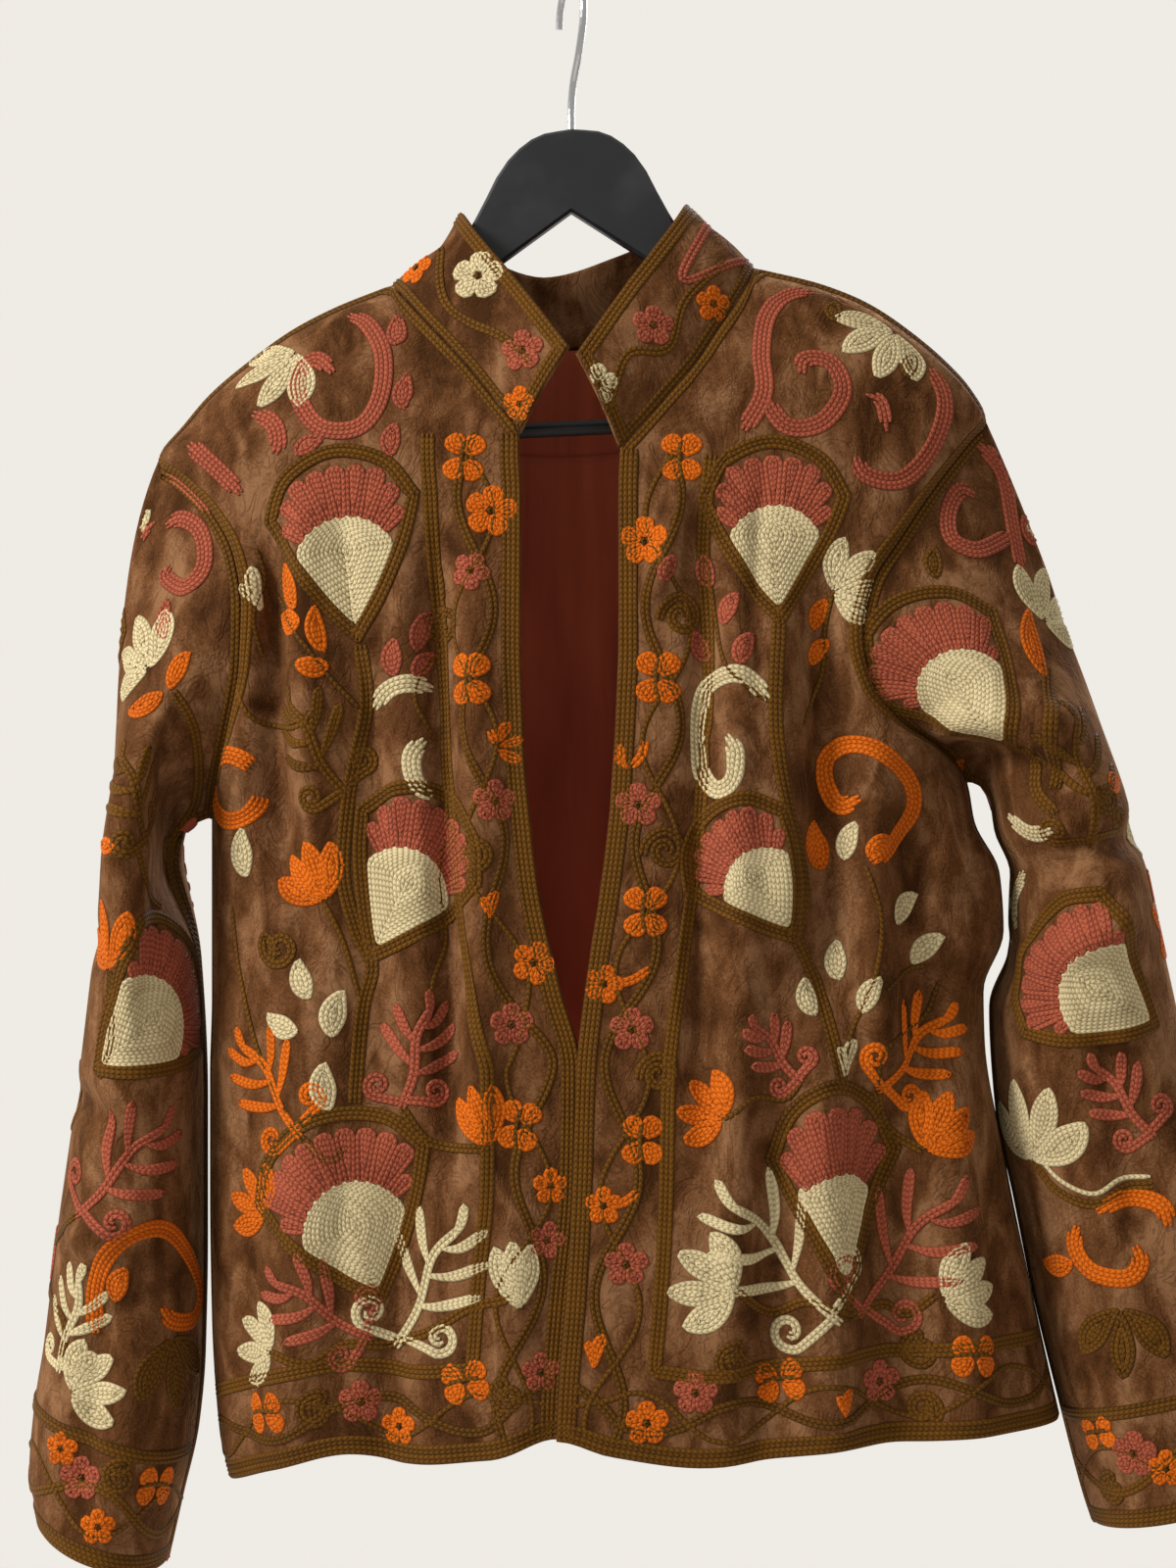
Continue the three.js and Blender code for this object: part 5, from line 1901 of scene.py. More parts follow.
        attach(made, "root")
        log.info("%s has %d rows and %d faces", made.name, len(lines), len(quads))
        return made


OLIVE, ORANGE, ROSE, CREAM = Thread

# Motifs: kind and thread, then each one's foot or middle as pixel x and y, turn in degrees, size in mm
LEFT_MOTIFS: Motifs = (
    ("fan", OLIVE, (366, 656, -8, 102, 0.84), (376, 982, 26, 98, 0.86), (390, 1330, -20, 102, 1.0)),
    (
        "leaf", ORANGE,
        (303, 622, -12, 29, 0.22), (308, 632, -75, 23, 0.3), (333, 668, -10, 28, 0.18),
        (338, 678, -82, 20, 0.27),
    ),
    ("bud", CREAM, (266, 622, -22, 22)),
    ("leaf", ROSE, (425, 668, 22, 26, 0.22), (404, 692, 2, 22), (422, 694, 42, 20)),
    ("coral", OLIVE, (355, 812, -34, 64, -1)),
    ("ring", ORANGE, (234, 804, 60, 22, 0.8)),
    ("leaf", CREAM, (254, 896, -5, 29, 0.22)),
    ("tulip", ORANGE, (331, 920, -30, 34, 4, 9)),
    ("spiral", OLIVE, (285, 967, 20, 11)),
    ("leaf", CREAM, (318, 1020, -15, 24), (306, 1052, -60, 24), (340, 1060, 15, 27), (338, 1135, -5, 27)),
    ("coral", ORANGE, (307, 1160, -28, 66, -1)),
    ("tulip", ORANGE, (272, 1238, -42, 29)),
    ("coral", ROSE, (410, 1130, 14, 60)),
    ("tulip", ORANGE, (500, 1171, -20, 34, 3, 7)),
    ("coral", ROSE, (380, 1365, -60, 66, -1)),
    ("coral", CREAM, (404, 1374, 24, 82)),
    ("tulip", CREAM, (530, 1337, -6, 36, 3, 5), (277, 1380, -58, 30)),
    ("bow", ORANGE, (474, 466, 5, 25)),
    ("flower", ORANGE, (501, 521, 10, 25)),
    ("flower", ROSE, (480, 582, 30, 19)),
    ("spiral", OLIVE, (455, 635, 0, 10)),
    ("bow", ORANGE, (478, 692, 0, 27)),
    ("tulip", ORANGE, (505, 762, 75, 18, 3)),
    ("flower", ROSE, (505, 817, 0, 21)),
    ("spiral", OLIVE, (485, 870, 0, 10)),
    ("bud", ORANGE, (500, 938, 0, 15)),
    ("flower", ORANGE, (545, 982, 20, 21)),
    ("flower", ROSE, (522, 1045, 0, 21)),
    ("bow", ORANGE, (530, 1148, 10, 25)),
    ("flower", ORANGE, (562, 1210, 0, 17)),
    ("flower", ROSE, (558, 1265, 15, 18)),
    ("bow", ORANGE, (270, 1442, 85, 25)),
    ("spiral", OLIVE, (322, 1440, 100, 10)),
    ("flower", ROSE, (368, 1430, 0, 21)),
    ("flower", ORANGE, (408, 1455, 0, 18)),
    ("bow", ORANGE, (475, 1410, 80, 25)),
    ("spiral", OLIVE, (518, 1425, 60, 9)),
    ("flower", ROSE, (552, 1400, 0, 19)),
    ("leaf", ROSE, (408, 352, 8, 22), (413, 420, 8, 22), (400, 468, 10, 21)),
    ("tulip", CREAM, (303, 360, -130, 37)),
    ("leaf", ROSE, (300, 466, 60, 20)),
)
LEFT_TRAILS: Trails = (
    (OLIVE, 1, (440, 748), (424, 716), (428, 690), (452, 660)),
    (OLIVE, 1, (240, 700), (262, 735), (300, 742), (322, 722)),
    (OLIVE, 1, (237, 925), (246, 1000), (270, 1090), (307, 1160)),
    (OLIVE, 1, (440, 1010), (455, 960), (448, 900), (455, 850)),
    (OLIVE, 2, (410, 1130), (440, 1166), (496, 1172)),
    (OLIVE, 1, (445, 560), (452, 610), (440, 650)),
    (OLIVE, 1, (262, 560), (270, 590), (258, 630), (268, 670)),
    (
        OLIVE, 3,
        (368, 658), (374, 720), (356, 810), (350, 890), (364, 950), (380, 985),
        (370, 1030), (362, 1125),
    ),
    (OLIVE, 1, (370, 725), (340, 695), (308, 655), (282, 606)),
    (OLIVE, 1, (366, 1015), (352, 965), (331, 920)),
    (OLIVE, 2, (307, 1160), (335, 1185), (352, 1170)),
    (OLIVE, 2, (277, 1380), (315, 1392), (352, 1372), (395, 1372)),
    (OLIVE, 2, (395, 1372), (440, 1358), (478, 1335), (520, 1325)),
    (CREAM, 4, (379, 728), (396, 704), (420, 697), (447, 705)),
    (CREAM, 4, (437, 750), (420, 772), (428, 802), (452, 812)),
    (ORANGE, 2, (498, 740), (508, 762)),
    (
        ROSE, 4,
        (343, 383), (323, 366), (305, 382), (308, 413), (330, 437), (367, 435),
        (388, 405), (391, 360), (373, 328), (353, 320),
    ),
    (ROSE, 4, (253, 420), (277, 430), (284, 450), (278, 468)),
    (ROSE, 4, (190, 450), (221, 478), (250, 507)),
)
RIGHT_MOTIFS: Motifs = (
    ("fan", OLIVE, (797, 638, -4, 98, 0.82), (814, 962, -33, 86, 0.84), (866, 1344, -3, 118, 0.68, 0.7)),
    ("leaf", ROSE, (728, 602, -10, 21), (738, 640, 25, 21), (726, 676, -25, 21), (755, 680, 25, 21)),
    ("tulip", CREAM, (850, 604, 65, 32)),
    (
        "leaf", ORANGE,
        (830, 645, 25, 20, 0.26), (826, 680, 40, 20, 0.26), (884, 876, 60, 21, 0.26),
        (842, 888, -12, 27, 0.3),
    ),
    (
        "leaf", CREAM,
        (862, 880, 20, 23), (915, 945, 30, 24), (930, 985, 50, 24), (858, 1002, 0, 23),
        (880, 1036, 30, 23), (834, 1038, -15, 23),
    ),
    ("coral", ORANGE, (895, 1113, 38, 64)),
    ("coral", ROSE, (818, 1105, -38, 42, -1)),
    ("bud", CREAM, (862, 1098, 4, 19)),
    ("tulip", ORANGE, (739, 1142, -60, 28), (944, 1174, 38, 34, 4, 9)),
    ("coral", CREAM, (858, 1350, -40, 96, -1)),
    ("coral", ROSE, (876, 1344, 33, 90)),
    ("tulip", CREAM, (750, 1318, -72, 36), (962, 1325, 66, 34, 4, 10)),
    ("bow", ORANGE, (696, 466, 0, 25)),
    ("flower", ORANGE, (658, 552, 0, 24)),
    ("leaf", ROSE, (676, 596, 30, 18, 0.26)),
    ("spiral", OLIVE, (695, 628, 0, 10, -1)),
    ("bow", ORANGE, (672, 691, 0, 27)),
    ("bud", ORANGE, (640, 785, -30, 14)),
    ("flower", ROSE, (651, 821, 0, 22)),
    ("spiral", OLIVE, (679, 867, 0, 10, -1)),
    ("bow", ORANGE, (659, 930, 0, 26)),
    ("flower", ORANGE, (616, 1004, 15, 19)),
    ("flower", ROSE, (645, 1050, 0, 21)),
    ("spiral", OLIVE, (672, 1095, 0, 9, -1)),
    ("bow", ORANGE, (656, 1163, 0, 25)),
    ("flower", ORANGE, (616, 1230, 0, 18)),
    ("flower", ROSE, (639, 1290, 0, 21)),
    ("bud", ORANGE, (606, 1395, 5, 17)),
    ("flower", ORANGE, (660, 1452, 0, 21)),
    ("flower", ROSE, (710, 1421, 0, 21)),
    ("spiral", OLIVE, (750, 1391, 80, 10)),
    ("bow", ORANGE, (796, 1408, 85, 26)),
    ("bud", ORANGE, (863, 1446, 0, 15)),
    ("flower", ROSE, (897, 1409, 0, 21)),
    ("spiral", OLIVE, (940, 1378, 70, 10), (942, 1437, 200, 9)),
    ("bow", ORANGE, (996, 1384, 85, 25)),
    ("tulip", CREAM, (913, 340, -130, 37)),
    ("leaf", OLIVE, (853, 330, 8, 20, 0.24), (927, 388, 20, 20, 0.24)),
)
RIGHT_TRAILS: Trails = (
    (OLIVE, 1, (739, 1142), (770, 1120), (800, 1122), (818, 1105)),
    (OLIVE, 2, (895, 1113), (905, 1150), (942, 1174)),
    (OLIVE, 1, (850, 604), (842, 640), (838, 690), (820, 740)),
    (OLIVE, 1, (884, 884), (900, 940), (892, 1000), (870, 1050), (862, 1098)),
    (OLIVE, 1, (722, 570), (730, 630), (742, 680), (787, 717)),
    (OLIVE, 1, (960, 1000), (940, 1040), (905, 1070), (895, 1113)),
    (OLIVE, 1, (905, 1010), (925, 990), (945, 985)),
    (OLIVE, 3, (795, 630), (792, 700), (794, 760), (806, 830), (822, 900), (812, 955)),
    (OLIVE, 3, (812, 955), (832, 1000), (850, 1060), (861, 1112)),
    (OLIVE, 2, (750, 1316), (785, 1338), (825, 1328), (866, 1345)),
    (OLIVE, 2, (866, 1345), (900, 1330), (925, 1340), (955, 1321)),
    (
        CREAM, 4,
        (787, 717), (765, 692), (742, 688), (720, 705), (712, 748), (716, 786),
        (732, 806), (748, 794), (751, 765), (740, 746),
    ),
    (
        ORANGE, 4,
        (884, 811), (858, 822), (843, 802), (842, 776), (862, 760), (895, 764),
        (928, 797), (930, 828), (912, 857), (884, 884),
    ),
    (ORANGE, 2, (620, 1004), (645, 1000), (668, 985)),
    (ORANGE, 2, (620, 1230), (638, 1226), (655, 1212)),
    (ORANGE, 2, (640, 785), (654, 772), (660, 752)),
    (ROSE, 4, (755, 445), (779, 402), (777, 360), (783, 322), (807, 300), (833, 298)),
    (ROSE, 4, (779, 402), (803, 434), (838, 431), (860, 400), (849, 370), (822, 366), (818, 386)),
    (ROSE, 4, (947, 372), (964, 407), (951, 457), (920, 489), (884, 484), (872, 460)),
    (ROSE, 3, (883, 402), (899, 410), (905, 440)),
)
COLLAR_LEFT: Motifs = (
    ("flower", CREAM, (488, 281, 10, 26)),
    ("flower", ROSE, (533, 357, 0, 21)),
    ("flower", ORANGE, (531, 412, 0, 18), (425, 273, 0, 19)),
)
COLLAR_LEFT_TRAILS: Trails = ((OLIVE, 2, (450, 253), (453, 305), (478, 328), (512, 343), (545, 372)),)
COLLAR_RIGHT: Motifs = (
    ("flower", CREAM, (712, 228, 0, 23)),
    ("flower", ORANGE, (728, 310, 0, 19)),
    ("flower", ROSE, (667, 332, 0, 21)),
    ("flower", CREAM, (610, 392, 0, 21)),
)
COLLAR_RIGHT_TRAILS: Trails = (
    (ROSE, 2, (687, 242), (697, 285), (713, 310)),
    (OLIVE, 2, (740, 268), (700, 305), (682, 355), (640, 362), (620, 420)),
)
SLEEVE_LEFT_MOTIFS: Motifs = (
    ("fan", OLIVE, (96, 1094, 46, 102, 0.92)),
    ("leaf", ROSE, (170, 655, 5, 27, 0.2)),
    ("tulip", CREAM, (152, 683, -30, 38)),
    ("leaf", ORANGE, (174, 705, 28, 24), (168, 705, -115, 27)),
    ("coral", OLIVE, (150, 862, -12, 58, -1)),
    ("spiral", OLIVE, (181, 864, 0, 10)),
    ("leaf", ORANGE, (120, 862, -20, 17, 0.26)),
    ("tulip", ORANGE, (112, 990, -8, 37, 3)),
    ("coral", ROSE, (78, 1240, 42, 76)),
    ("leaf", ORANGE, (118, 1330, 20, 22, 0.26)),
    ("coral", CREAM, (60, 1400, 15, 58, -1)),
    ("tulip", CREAM, (72, 1420, 70, 32)),
    ("tulip", OLIVE, (176, 1364, 176, 40, 3)),
    ("flower", ORANGE, (62, 1478, 0, 17)),
    ("flower", ROSE, (84, 1508, 0, 21)),
    ("bow", ORANGE, (160, 1516, 80, 24)),
    ("flower", ORANGE, (100, 1558, 0, 17)),
    ("spiral", OLIVE, (122, 1508, 100, 9)),
    ("flower", ROSE, (186, 1556, 0, 18)),
)
SLEEVE_LEFT_TRAILS: Trails = (
    (ROSE, 4, (185, 442), (192, 479), (212, 494), (237, 501)),
    (ROSE, 4, (166, 540), (185, 529), (205, 543), (208, 577), (189, 599), (169, 588), (178, 573)),
    (ROSE, 3, (143, 561), (146, 545), (159, 532)),
    (OLIVE, 2, (178, 705), (199, 748), (199, 820), (196, 876)),
    (OLIVE, 2, (141, 864), (150, 900), (164, 925)),
    (OLIVE, 3, (100, 1098), (112, 1060), (112, 990)),
    (OLIVE, 2, (78, 1240), (60, 1290), (64, 1345), (60, 1400)),
    (
        ORANGE, 4,
        (98, 1368), (98, 1312), (122, 1268), (163, 1253), (188, 1273), (204, 1315),
        (198, 1344), (176, 1347), (163, 1328),
    ),
)
SLEEVE_RIGHT_MOTIFS: Motifs = (
    ("fan", OLIVE, (1038, 763, -43, 103, 0.92), (1183, 1048, -58, 98, 0.92)),
    ("leaf", ROSE, (1058, 558, 10, 22, 0.26)),
    ("tulip", CREAM, (1065, 634, 15, 37)),
    ("leaf", ORANGE, (1070, 694, -14, 46, 0.14)),
    ("leaf", OLIVE, (957, 592, 0, 21, 0.24)),
    ("bud", ORANGE, (962, 796, -5, 17)),
    ("leaf", CREAM, (1003, 930, -10, 22, 0.26)),
    ("coral", OLIVE, (1112, 864, -4, 78)),
    ("spiral", OLIVE, (1131, 813, 0, 9)),
    ("leaf", ORANGE, (1132, 808, 10, 22, 0.26)),
    ("tulip", CREAM, (1160, 872, 10, 27)),
    ("tulip", ORANGE, (1166, 934, -8, 39)),
    ("tulip", CREAM, (1053, 1183, -3, 45)),
    ("coral", ROSE, (1178, 1160, -38, 52, -1)),
    ("leaf", ORANGE, (1096, 1286, -88, 24, 0.26)),
    ("tulip", OLIVE, (1144, 1334, 178, 38, 3)),
    ("flower", ROSE, (1157, 1483, 0, 23)),
    ("flower", ORANGE, (1190, 1498, 0, 18)),
    ("bow", ORANGE, (1120, 1462, 80, 21)),
    ("spiral", OLIVE, (1135, 1520, 90, 9)),
)
SLEEVE_RIGHT_TRAILS: Trails = (
    (ROSE, 4, (990, 442), (1022, 482), (1034, 540), (1044, 588)),
    (ROSE, 4, (998, 508), (980, 500), (968, 522), (972, 550), (998, 561), (1025, 549), (1034, 542)),
    (OLIVE, 3, (1068, 680), (1072, 740), (1076, 805)),
    (OLIVE, 3, (1042, 762), (1056, 800), (1076, 830)),
    (CREAM, 4, (1027, 828), (1052, 850), (1078, 846)),
    (CREAM, 4, (1048, 884), (1036, 918), (1038, 952)),
    (CREAM, 2, (1013, 983), (1012, 1000), (1007, 1018)),
    (OLIVE, 2, (1053, 1183), (1078, 1214), (1116, 1229), (1146, 1212), (1176, 1209)),
    (CREAM, 1, (1060, 1180), (1082, 1204), (1116, 1218), (1142, 1203), (1174, 1200)),
    (ORANGE, 4, (1101, 1244), (1097, 1272), (1114, 1297), (1150, 1304), (1164, 1288), (1156, 1266)),
    (ORANGE, 4, (1115, 1238), (1146, 1222), (1184, 1229), (1194, 1257)),
)
BACK_MOTIFS: Motifs = (
    (
        "fan", OLIVE,
        (652, 620, 0, 104, 0.86), (470, 905, 24, 94, 0.82), (836, 905, -24, 94, 0.82),
        (652, 1120, 0, 98, 0.95), (432, 1322, -10, 88, 0.85), (880, 1322, 10, 88, 0.85),
    ),
    ("coral", ROSE, (640, 860, -34, 74, -1), (664, 860, 34, 74)),
    ("coral", CREAM, (640, 1300, -42, 88, -1), (664, 1300, 42, 88)),
    ("coral", ORANGE, (360, 760, -12, 62, -1), (948, 760, 12, 62)),
    ("coral", OLIVE, (330, 1080, -18, 64, -1), (990, 1080, 18, 64)),
    ("tulip", ORANGE, (560, 1010, -30, 32), (744, 1010, 30, 32)),
    ("tulip", CREAM, (540, 620, -40, 37), (764, 620, 40, 37), (305, 900, -30, 34), (1000, 900, 30, 34)),
    ("tulip", ORANGE, (540, 1220, -70, 29), (764, 1220, 70, 29)),
    ("ring", ORANGE, (450, 640, 40, 18), (860, 640, -40, 18)),
    ("leaf", ORANGE, (600, 700, -40, 27), (704, 700, 40, 27)),
    ("leaf", CREAM, (590, 760, -60, 27), (714, 760, 60, 27)),
    ("leaf", ROSE, (400, 960, -50, 26), (905, 960, 50, 26)),
    ("leaf", CREAM, (395, 1010, -70, 26), (912, 1010, 70, 26)),
    ("leaf", ORANGE, (470, 1150, -30, 26), (838, 1150, 30, 26)),
    ("spiral", OLIVE, (590, 930, 0, 11), (714, 930, 0, 11, -1)),
    ("tulip", CREAM, (545, 480, -60, 34), (760, 480, 60, 34)),
    ("leaf", ROSE, (380, 470, -40, 23), (925, 470, 40, 23)),
    ("bow", ORANGE, (330, 1424, 85, 25)),
    ("flower", ROSE, (420, 1426, 0, 21)),
    ("bow", ORANGE, (515, 1424, 85, 25)),
    ("flower", ORANGE, (590, 1420, 0, 21)),
    ("flower", ROSE, (680, 1424, 0, 21)),
    ("bow", ORANGE, (770, 1420, 85, 25)),
    ("flower", ROSE, (860, 1420, 0, 21)),
    ("bow", ORANGE, (955, 1412, 85, 25)),
    ("flower", ORANGE, (1035, 1400, 0, 19)),
    ("spiral", OLIVE, (376, 1412, 80, 9), (552, 1432, 80, 9), (725, 1408, 80, 9), (905, 1424, 80, 9)),
)
BACK_TRAILS: Trails = (
    (OLIVE, 3, (652, 620), (640, 700), (664, 780), (652, 862), (640, 900), (652, 925)),
    (OLIVE, 3, (652, 1120), (640, 1170), (664, 1240), (652, 1300), (652, 1352)),
    (OLIVE, 3, (470, 905), (500, 970), (560, 1012)),
    (OLIVE, 3, (836, 905), (806, 970), (744, 1012)),
    (OLIVE, 2, (470, 905), (430, 960), (400, 1040), (420, 1140)),
    (OLIVE, 2, (836, 905), (878, 960), (910, 1040), (890, 1140)),
    (OLIVE, 2, (360, 762), (340, 820), (305, 900)),
    (OLIVE, 2, (948, 762), (966, 820), (1000, 900)),
    (OLIVE, 2, (652, 1300), (600, 1340), (560, 1310), (500, 1340)),
    (OLIVE, 2, (652, 1300), (704, 1340), (748, 1310), (808, 1340)),
    (ROSE, 4, (480, 420), (440, 405), (425, 440), (455, 470), (500, 455), (515, 415), (490, 375)),
    (ROSE, 4, (826, 420), (866, 405), (881, 440), (851, 470), (806, 455), (791, 415), (816, 375)),
    (CREAM, 4, (540, 700), (505, 690), (492, 730), (515, 765), (545, 750), (540, 725)),
    (CREAM, 4, (768, 700), (803, 690), (816, 730), (793, 765), (763, 750), (768, 725)),
)
COLLAR_REAR: Motifs = (
    ("flower", ORANGE, (520, 262, 0, 21)),
    ("flower", CREAM, (585, 270, 0, 21)),
    ("flower", ROSE, (650, 258, 0, 21)),
)
SLEEVE_LEFT_REAR: Motifs = (
    ("fan", OLIVE, (140, 760, 12, 84, 0.8), (112, 1210, 8, 84, 0.8)),
    ("coral", ORANGE, (140, 940, -22, 60, -1)),
    ("coral", ROSE, (150, 950, 24, 56)),
    ("coral", CREAM, (105, 1380, 14, 64)),
    ("tulip", CREAM, (170, 560, 20, 30)),
    ("leaf", ROSE, (130, 820, -60, 24)),
    ("leaf", CREAM, (170, 830, 60, 24)),
    ("leaf", ORANGE, (100, 1260, -50, 24)),
    ("leaf", ROSE, (150, 1260, 60, 24)),
    ("flower", ROSE, (70, 1500, 0, 21)),
    ("bow", ORANGE, (130, 1520, 80, 24)),
    ("spiral", OLIVE, (96, 1508, 100, 9)),
    ("flower", ORANGE, (185, 1530, 0, 18)),
    ("coral", OLIVE, (52, 1200, -2, 62, -1)),
    ("tulip", ROSE, (46, 1330, -4, 34, 4, 10)),
    ("leaf", ORANGE, (60, 1225, 50, 24)),
)
SLEEVE_LEFT_REAR_TRAILS: Trails = (
    (OLIVE, 3, (140, 760), (165, 830), (146, 900), (140, 945), (128, 1010), (122, 1045)),
    (OLIVE, 3, (112, 1210), (122, 1270), (104, 1330), (105, 1380)),
)
SLEEVE_RIGHT_REAR: Motifs = (
    ("fan", OLIVE, (1062, 760, -12, 84, 0.8), (1112, 1190, -8, 84, 0.8)),
    ("coral", ROSE, (1080, 930, -22, 56, -1)),
    ("coral", ORANGE, (1090, 940, 20, 60)),
    ("coral", CREAM, (1140, 1350, -12, 62, -1)),
    ("tulip", CREAM, (1030, 570, -20, 30)),
    ("leaf", CREAM, (1050, 820, -60, 24)),
    ("leaf", ROSE, (1090, 820, 60, 24), (1100, 1240, -60, 24)),
    ("leaf", ORANGE, (1150, 1240, 50, 24)),
    ("flower", ROSE, (1130, 1478, 0, 21)),
    ("bow", ORANGE, (1178, 1490, 80, 24)),
    ("coral", OLIVE, (1196, 1180, 2, 66)),
    ("tulip", ROSE, (1196, 1340, 4, 36, 4, 10)),
    ("leaf", ORANGE, (1186, 1210, -50, 24)),
    ("leaf", CREAM, (1212, 1400, 40, 24)),
)
SLEEVE_RIGHT_REAR_TRAILS: Trails = (
    (OLIVE, 3, (1062, 760), (1080, 820), (1074, 880), (1090, 940), (1096, 1000), (1100, 1030)),
    (OLIVE, 3, (1112, 1190), (1128, 1250), (1136, 1300), (1140, 1350)),
)


@dataclass(frozen=True)
class Pattern:
    """Motifs and trails for one side of a piece, and the columns of its grid that they lie on."""

    piece: str
    motifs: Motifs
    trails: Trails = ()
    rear: bool = False
    columns: slice | None = None


PATTERNS = (
    Pattern("front_left", LEFT_MOTIFS, LEFT_TRAILS),
    Pattern("front_right", RIGHT_MOTIFS, RIGHT_TRAILS),
    Pattern("collar", COLLAR_LEFT, COLLAR_LEFT_TRAILS, columns=slice(0, 24)),
    Pattern("collar", COLLAR_RIGHT, COLLAR_RIGHT_TRAILS, columns=slice(-24, None)),
    Pattern("collar", COLLAR_REAR, rear=True, columns=slice(20, -20)),
    Pattern("sleeve_left", SLEEVE_LEFT_MOTIFS, SLEEVE_LEFT_TRAILS),
    Pattern("sleeve_left", SLEEVE_LEFT_REAR, SLEEVE_LEFT_REAR_TRAILS, rear=True),
    Pattern("sleeve_right", SLEEVE_RIGHT_MOTIFS, SLEEVE_RIGHT_TRAILS),
    Pattern("sleeve_right", SLEEVE_RIGHT_REAR, SLEEVE_RIGHT_REAR_TRAILS, rear=True),
    Pattern("back", BACK_MOTIFS, BACK_TRAILS, rear=True),
)


@dataclass(frozen=True)
class Needlework:
    """Everything that is embroidered: the patterns, and the rows and vines along the edges and seams."""

    band: float = 46.0
    cuff_band: float = 58.0

    def front_edges(self, sewn: Embroidery) -> None:
        """Edging rows round a front, and a three-row line one band in from its front edge and hem.

        Args:
            sewn: the piece's embroidery.
        """
        flat = sewn.cloth.flat
        edge, hem = flat[:, 0], flat[0]
        sewn.edging(edge, 1.5, 4)
        sewn.edging(hem, 1.5, 4)
        sewn.edging(flat[-1, : NECK_CELLS + 1], 2.0, 2)
        sewn.edging(flat[-1, NECK_CELLS:], 1.6, 2)
        sewn.edging(flat[: ROWS_BELOW + 1, -1], 1.6, 2)
        sewn.edging(flat[ROWS_BELOW:, -1], 1.8, 3)
        down = edge[::-1] + sewn.edging(edge, 0, 0)[::-1] * self.band
        along = hem + sewn.edging(hem, 0, 0) * self.band
        clear = np.linalg.norm(down[:, None] - hem[None], axis=2).min(axis=1) > self.band
        beyond = np.linalg.norm(along[:, None] - edge[None], axis=2).min(axis=1) > self.band
        sewn.stitch(np.concatenate([down[clear], along[beyond]]), Thread.OLIVE, 3)
        sewn.vine(edge, self.band / 2, 9.5, 116, 0.6)
        sewn.vine(edge, self.band / 2 + 2, 11.5, 116, 4.2, 1)
        sewn.vine(hem, self.band / 2, 8.5, 104, 2.2)
        sewn.vine(hem, self.band / 2, 11, 104, 5.6, 1)

    def back_edges(self, sewn: Embroidery) -> None:
        """Edging rows round the back and a line and a vine above its hem.

        Args:
            sewn: the piece's embroidery.
        """
        flat = sewn.cloth.flat
        sewn.edging(flat[0], 1.5, 4)
        sewn.edging(flat[0], self.band, 3)
        sewn.vine(flat[0], self.band / 2, 8.5, 104, 0.4)
        sewn.vine(flat[0], self.band / 2, 11, 104, 3.6, 1)
        for side in (0, -1):
            sewn.edging(flat[: ROWS_BELOW + 1, side], 1.6, 2)
            sewn.edging(flat[ROWS_BELOW:, side], 1.8, 3)
        sewn.edging(flat[-1, : SHOULDER_CELLS + 1], 1.6, 2)
        sewn.edging(flat[-1, -SHOULDER_CELLS - 1 :], 1.6, 2)
        sewn.edging(flat[-1, SHOULDER_CELLS:-SHOULDER_CELLS], 2.0, 2)

    def sleeve_edges(self, sewn: Embroidery) -> None:
        """Edging rows at a sleeve's cuff and seams, and a line and a vine above the cuff.

        Args:
            sewn: the piece's embroidery.
        """
        flat = sewn.cloth.flat
        sewn.edging(flat[-1], 1.5, 4)
        sewn.edging(flat[-1], self.cuff_band, 3)
        sewn.vine(flat[-1], self.cuff_band / 2, 10, 96, 1.0)
        sewn.vine(flat[-1], self.cuff_band / 2, 14, 96, 4.0, 1)
        sewn.edging(flat[0], 1.6, 2)
        for side in (0, -1):
            sewn.edging(flat[:, side], 1.4, 2)

    def collar_edges(self, sewn: Embroidery) -> None:
        """Edging rows all round the collar.

        Args:
            sewn: the piece's embroidery.
        """
        flat = sewn.cloth.flat
        for border in (flat[-1], flat[:, 0], flat[:, -1]):
            sewn.edging(border, 1.5, 3)
        sewn.edging(flat[0], 1.6, 2)

    def work(self, pieces: dict[str, Cloth], finishes: tuple) -> dict[str, bpy.types.Object]:
        """Stitches every piece.

        Args:
            pieces: the cut cloth.
            finishes: the four threads' materials.

        Returns:
            The embroidery of each piece, by the piece's name.
        """
        edges = {
            "front_left": self.front_edges,
            "front_right": self.front_edges,
            "back": self.back_edges,
            "sleeve_left": self.sleeve_edges,
            "sleeve_right": self.sleeve_edges,
            "collar": self.collar_edges,
        }
        made = {}
        for name, finish_edges in edges.items():
            sewn = Embroidery(pieces[name])
            finish_edges(sewn)
            for pattern in PATTERNS:
                if pattern.piece == name:
                    sewn.rear, sewn.columns = pattern.rear, pattern.columns
                    sewn.trails(pattern.trails)
                    sewn.motifs(pattern.motifs)
            made[name] = sewn.build(finishes)
        return made


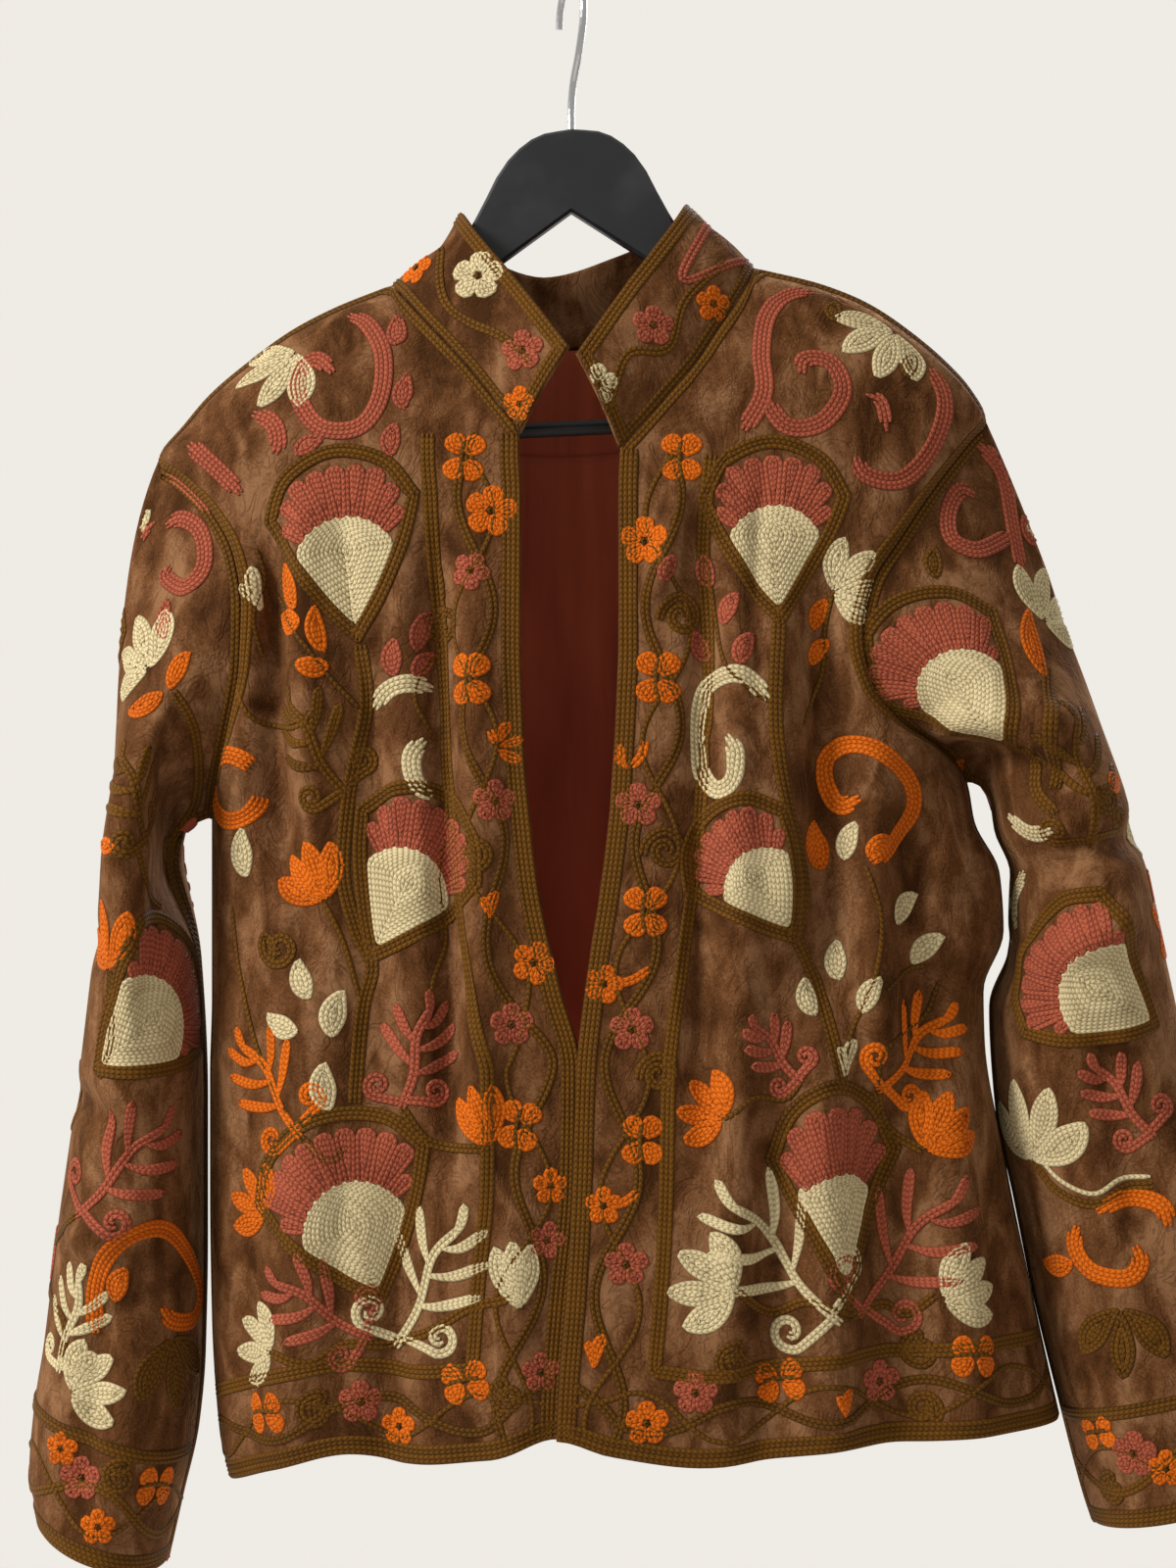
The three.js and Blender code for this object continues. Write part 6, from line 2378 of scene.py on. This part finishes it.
@dataclass(frozen=True)
class Studio:
    """The camera at the photograph's place, plain soft light and a pale floor, in metres and watts."""

    floor_z: float = -1.12
    floor_radius: float = 0.92
    key_place: tuple = (-2.1, -1.25, 1.0)
    key_power: float = 84.0
    key_size: float = 0.7
    rear_place: tuple = (0.9, 2.2, 0.8)
    rear_power: float = 34.0
    rear_size: float = 1.2
    aim: tuple = (0.03, 0.0, -0.42)
    surround_before: tuple = colour(186, 183, 178)
    surround_behind: tuple = colour(239, 235, 229)

    def camera(self) -> None:
        """Puts the camera in front of the jacket, level, looking along +Y."""
        data = bpy.data.cameras.new("camera")
        data.sensor_width = 36
        data.lens = 36 * EYE_DISTANCE / (1600 * PIXEL)
        data.clip_start, data.clip_end = 0.05, 40
        eye = bpy.data.objects.new("camera", data)
        eye.location = (EYE_X / 1000, -EYE_DISTANCE / 1000, EYE_Z / 1000)
        eye.rotation_euler = (math.pi / 2, 0, 0)
        bpy.context.scene.collection.objects.link(eye)
        bpy.context.scene.camera = eye

    def lamp(self, name: str, place: tuple, power: float, size: float) -> None:
        """A soft square lamp that faces the jacket's middle.

        Args:
            name: its name.
            place: where it is, in metres.
            power: its power in watts.
            size: its side in metres.
        """
        data = bpy.data.lights.new(name, "AREA")
        data.energy, data.size = power, size
        lamp = bpy.data.objects.new(name, data)
        lamp.location = place
        way = Vector(self.aim) - Vector(place)
        lamp.rotation_euler = way.to_track_quat("-Z", "Y").to_euler()
        bpy.context.scene.collection.objects.link(lamp)

    def light(self) -> None:
        """A pale surround, greyer before the jacket than behind it, a key lamp and a lamp behind."""
        world = bpy.data.worlds.new("studio")
        world.use_nodes = True
        nodes, links = world.node_tree.nodes, world.node_tree.links
        place = nodes.new("ShaderNodeTexCoord").outputs["Generated"]
        parts, ramp = nodes.new("ShaderNodeSeparateXYZ"), nodes.new("ShaderNodeValToRGB")
        links.new(place, parts.inputs[0])
        links.new(parts.outputs["Y"], ramp.inputs[0])
        ramp.color_ramp.elements[0].color = self.surround_before
        ramp.color_ramp.elements[1].position = 0.55
        ramp.color_ramp.elements[1].color = self.surround_behind
        links.new(ramp.outputs[0], nodes["Background"].inputs["Color"])
        bpy.context.scene.world = world
        bpy.context.scene.view_settings.view_transform = "Standard"
        self.lamp("key", self.key_place, self.key_power, self.key_size)
        self.lamp("behind", self.rear_place, self.rear_power, self.rear_size)

    def floor(self, finish: bpy.types.Material) -> None:
        """A round pale floor: a flat disc as rings of points.

        Args:
            finish: its material.
        """
        rings, spokes = 12, 97
        radius = np.linspace(0.001, self.floor_radius * 1000, rings)[:, None]
        angle = np.linspace(0, 2 * math.pi, spokes)[None, :]
        x, y = radius * np.cos(angle), radius * np.sin(angle)
        grid = np.stack([x, y, np.full_like(x, self.floor_z * 1000)], axis=-1)
        number = np.arange(rings * spokes).reshape(rings, spokes)
        quads = [number[:-1, :-1], number[1:, :-1], number[1:, 1:], number[:-1, 1:]]
        made = solid_mesh("floor", grid.reshape(-1, 3), np.stack(quads, axis=-1).reshape(-1, 4))
        made.data.materials.append(finish)


@dataclass(frozen=True)
class FloorPaint:
    """Matt pale paint with a faint unevenness."""

    def material(self) -> bpy.types.Material:
        """Makes the floor's material from one cloudy noise.

        Returns:
            The new material.
        """
        g = Graph("floor paint")
        place = g.node("ShaderNodeTexCoord").outputs["Object"]
        cloud = g.noise(place, 3.0, 2.0)
        stops = ((0.3, colour(206, 204, 200)), (0.7, colour(214, 212, 208)))
        g.put(g.shader.inputs["Base Color"], g.ramp(cloud, stops))
        g.shader.inputs["Roughness"].default_value = 0.9
        return g.material


def dress_hanger() -> None:
    """Gives the hanger's own pieces their paint and chrome, and leaves their shapes alone."""
    paint, wire = BlackPaint().material(), BrightWire().material()
    for name, finish in (("hanger_board", paint), ("hanger_bar", paint), ("hanger_hook", wire)):
        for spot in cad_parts[name].material_slots:
            spot.material = finish
        log.info("%s keeps its shape and takes %s", name, finish.name)


def main() -> None:
    """Builds the studio, the jacket, its lining and embroidery, and dresses the hanger."""
    logging.basicConfig(level=logging.INFO, format="%(message)s")
    studio = Studio()
    studio.camera()
    studio.light()
    studio.floor(FloorPaint().material())
    velvet, cotton = CrushedVelvet().material(), CottonLining().material()
    jacket = Jacket()
    jacket.cut()
    for name, piece in jacket.pieces.items():
        finishes = (velvet,) if name == "collar" else (velvet, cotton)
        piece.build(WALL, ("velvet",), finishes)
        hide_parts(name)
        log.info("%s has %d points", name, piece.grid.shape[0] * piece.grid.shape[1])
    lining = jacket.lining()
    lining.build(LINING_WALL, ("lining",), (cotton,))
    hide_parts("back_lining")
    threads = tuple(finish.material() for finish in THREAD_FINISHES)
    stitched = Needlework().work(jacket.pieces, threads)
    for name, piece in (*jacket.pieces.items(), ("back_lining", lining)):
        size, area = piece.cut_size()
        log.info("%s is cut %.3f by %.3f m, %.4f square metres", name, *size, area)
    dress_hanger()


if __name__ == "__main__":
    main()
